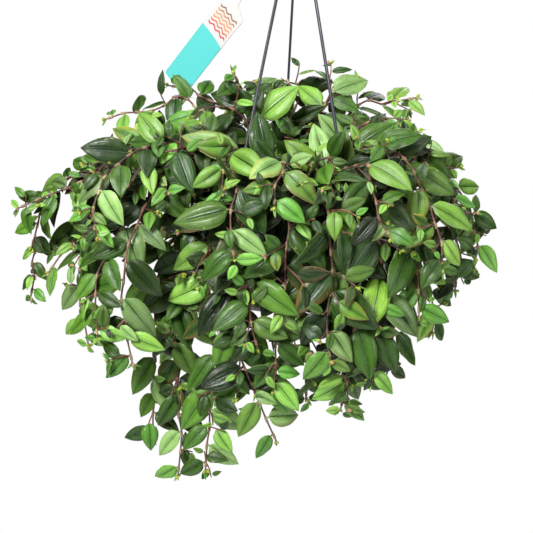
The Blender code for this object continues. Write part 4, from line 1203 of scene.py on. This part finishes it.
def make_label(material, strap_material):
    """The tag: a bowed card with rounded corners, on a strap whose band goes round the left strand."""
    down = LABEL_DOWN.normalized()
    across = (LABEL_ACROSS - down * LABEL_ACROSS.dot(down)).normalized()
    face = across.cross(down)
    points = [v.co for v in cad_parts["label"].data.vertices]
    low_down = max(p.dot(down) for p in points)
    card = [p for p in points if p.dot(down) > low_down - CARD_SURE]
    (left, right), (front, back) = [(min(p.dot(way) for p in card), max(p.dot(way) for p in card))
                                    for way in (across, face)]
    width = right - left

    def place(s, t, lift):
        """s down from the card's top edge, t across from its middle."""
        return (down * (low_down - LABEL_LENGTH + s) + across * ((left + right) / 2 + t)
                + face * ((front + back) / 2 + lift))

    def half_width(s):
        """Of the card, with its rounded corners, and of the strap above it."""
        if s < SHOULDER_TOP:
            return STRAP_WIDTH / 2
        if s < SHOULDER_END:
            share = (s - SHOULDER_TOP) / (SHOULDER_END - SHOULDER_TOP)
            return STRAP_WIDTH / 2 + (width - STRAP_WIDTH) / 2 * math.sin(share * math.pi / 2) ** 1.5
        short = max(0, CARD_CORNER - (LABEL_LENGTH - s))
        return width / 2 - CARD_CORNER + math.sqrt(max(0, CARD_CORNER ** 2 - short ** 2))

    straight = LABEL_LENGTH - CARD_CORNER
    rows = [*np.linspace(STRAP_TOP, SHOULDER_TOP, 16, endpoint=False),
            *np.linspace(SHOULDER_TOP, SHOULDER_END, 10, endpoint=False),
            *np.linspace(SHOULDER_END, straight, 30, endpoint=False)]
    rows += [straight + CARD_CORNER * math.sin(math.pi / 2 * k / 6) for k in range(7)]
    columns = 13
    uvs = [(s, half_width(s) * (2 * k / (columns - 1) - 1)) for s in rows for k in range(columns)]
    sheets = []
    for lift in (CARD_HALF_THICK, -CARD_HALF_THICK):
        sheet = []
        for s, t in uvs:
            bow = CARD_BOW * ((1 - (2 * t / width) ** 2) * min(1, max(0, (s - SHOULDER_TOP) / 0.03)) - 0.5)
            sheet.append(tuple(place(s, t, lift + bow * min(1, max(0, s / 0.02)))))
        sheets.append(sheet)
    build = Build()
    build.add_sheet((len(rows), columns), sheets, ((1, 1, 1), (1, 1, 1)), (0, 0), uvs)
    card_piece = build.finish("plant_tag", [material], 40)
    top, eye = strand_line("left")
    line = (eye - top).normalized()
    band = revolve([(0.0027, -0.0022), (0.0030, -0.0025), (0.0033, -0.0025), (0.0035, -0.0022),
                    (0.0035, 0.0022), (0.0033, 0.0025), (0.0030, 0.0025), (0.0027, 0.0022)], Vector(), 32)
    turned = Matrix.Translation(top + line * BAND_DOWN) @ line.to_track_quat("Z", "Y").to_matrix().to_4x4()
    bmesh.ops.transform(band, matrix=turned, verts=band.verts)
    band_piece = link_shape("tag_band", band, [strap_material])
    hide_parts("label")
    for piece in (card_piece, band_piece):
        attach(piece, "root")


# ---- stage

def make_world():
    """White to sight, with plain light for the object."""
    tree = Tree("studio", "worlds")
    bpy.context.scene.world = tree.owner
    tree.nodes.clear()
    path = tree.add("LightPath")
    seen = tree.math("MAXIMUM", path.outputs["Is Camera Ray"], path.outputs["Is Transmission Ray"])
    plain = tree.add("Background", WORLD_COLOUR, WORLD_STRENGTH)
    white = tree.add("Background", (1, 1, 1), 1.0)
    mix = tree.add("MixShader", seen, plain.outputs[0], white.outputs[0])
    tree.fill(tree.add("OutputWorld"), Surface=mix.outputs[0])


def make_lamps():
    for name, (place, size, power) in LAMPS.items():
        lamp = bpy.data.lights.new(name, "AREA")
        lamp.size, lamp.energy = size, power
        made = bpy.data.objects.new(name, lamp)
        made.location = Vector(place) + LAMPS_MIDDLE
        made.rotation_euler = (LAMPS_MIDDLE - made.location).to_track_quat("-Z", "Y").to_euler()
        bpy.context.scene.collection.objects.link(made)


def make_floor():
    """A pale floor that goes white to sight away from the object."""
    tree = Tree("floor_white")
    tree.finish((0.90, 0.90, 0.90), 0.9)
    x, y, _ = tree.add("SeparateXYZ", tree.add("TexCoord").outputs["Object"]).outputs
    away = tree.math("SQRT", tree.math("ADD", tree.math("POWER", x, 2.0), tree.math("POWER", y, 2.0)))
    share = tree.math("MULTIPLY", tree.ramp(away, 0.45, 0.9), tree.add("LightPath").outputs["Is Camera Ray"])
    glow = tree.fill(tree.add("Emission"), Strength=1.0)
    mix = tree.add("MixShader", share, tree.shader.outputs[0], glow.outputs[0])
    tree.fill(tree.nodes["Material Output"], Surface=mix.outputs[0])
    shape = bmesh.new()
    bmesh.ops.create_circle(shape, cap_ends=True, segments=96, radius=1.0)
    floor = link_shape("floor", shape, [tree.owner])
    floor.location.z = FLOOR_Z


def make_camera():
    camera = bpy.data.objects.new("camera", bpy.data.cameras.new("camera"))
    bpy.context.scene.collection.objects.link(camera)
    rise = math.radians(CAMERA_RISE)
    camera.location = TARGET + Vector((0, -math.cos(rise), math.sin(rise))) * CAMERA_DISTANCE
    camera.rotation_euler = (TARGET - camera.location).to_track_quat("-Z", "Y").to_euler()
    camera.data.sensor_width = 36
    camera.data.lens = 18 / (VIEW_HALF / CAMERA_DISTANCE)
    bpy.context.scene.camera = camera


def main():
    bpy.context.scene.view_settings.view_transform = "Standard"
    make_camera()
    make_world()
    make_lamps()
    make_floor()
    hanger = plastic_material("hanger_plastic", (0.032, 0.035, 0.051), (0.072, 0.080, 0.108), 0.30)
    make_pot()
    make_soil(random.Random(SEED))
    make_hook(hanger)
    for name in STRAND_ANGLES:
        make_strand(name, hanger)
    strap = plastic_material("strap_plastic", (0.78, 0.78, 0.76), (0.86, 0.86, 0.84), 0.35)
    make_label(label_material(), strap)
    shoots = [Shoot(name) for name in sorted(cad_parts) if name.startswith("shoot_")]
    room = Room()
    for number, shoot in enumerate(shoots):
        grow_shoot(shoot, room, random.Random(SEED * 100 + number))


main()
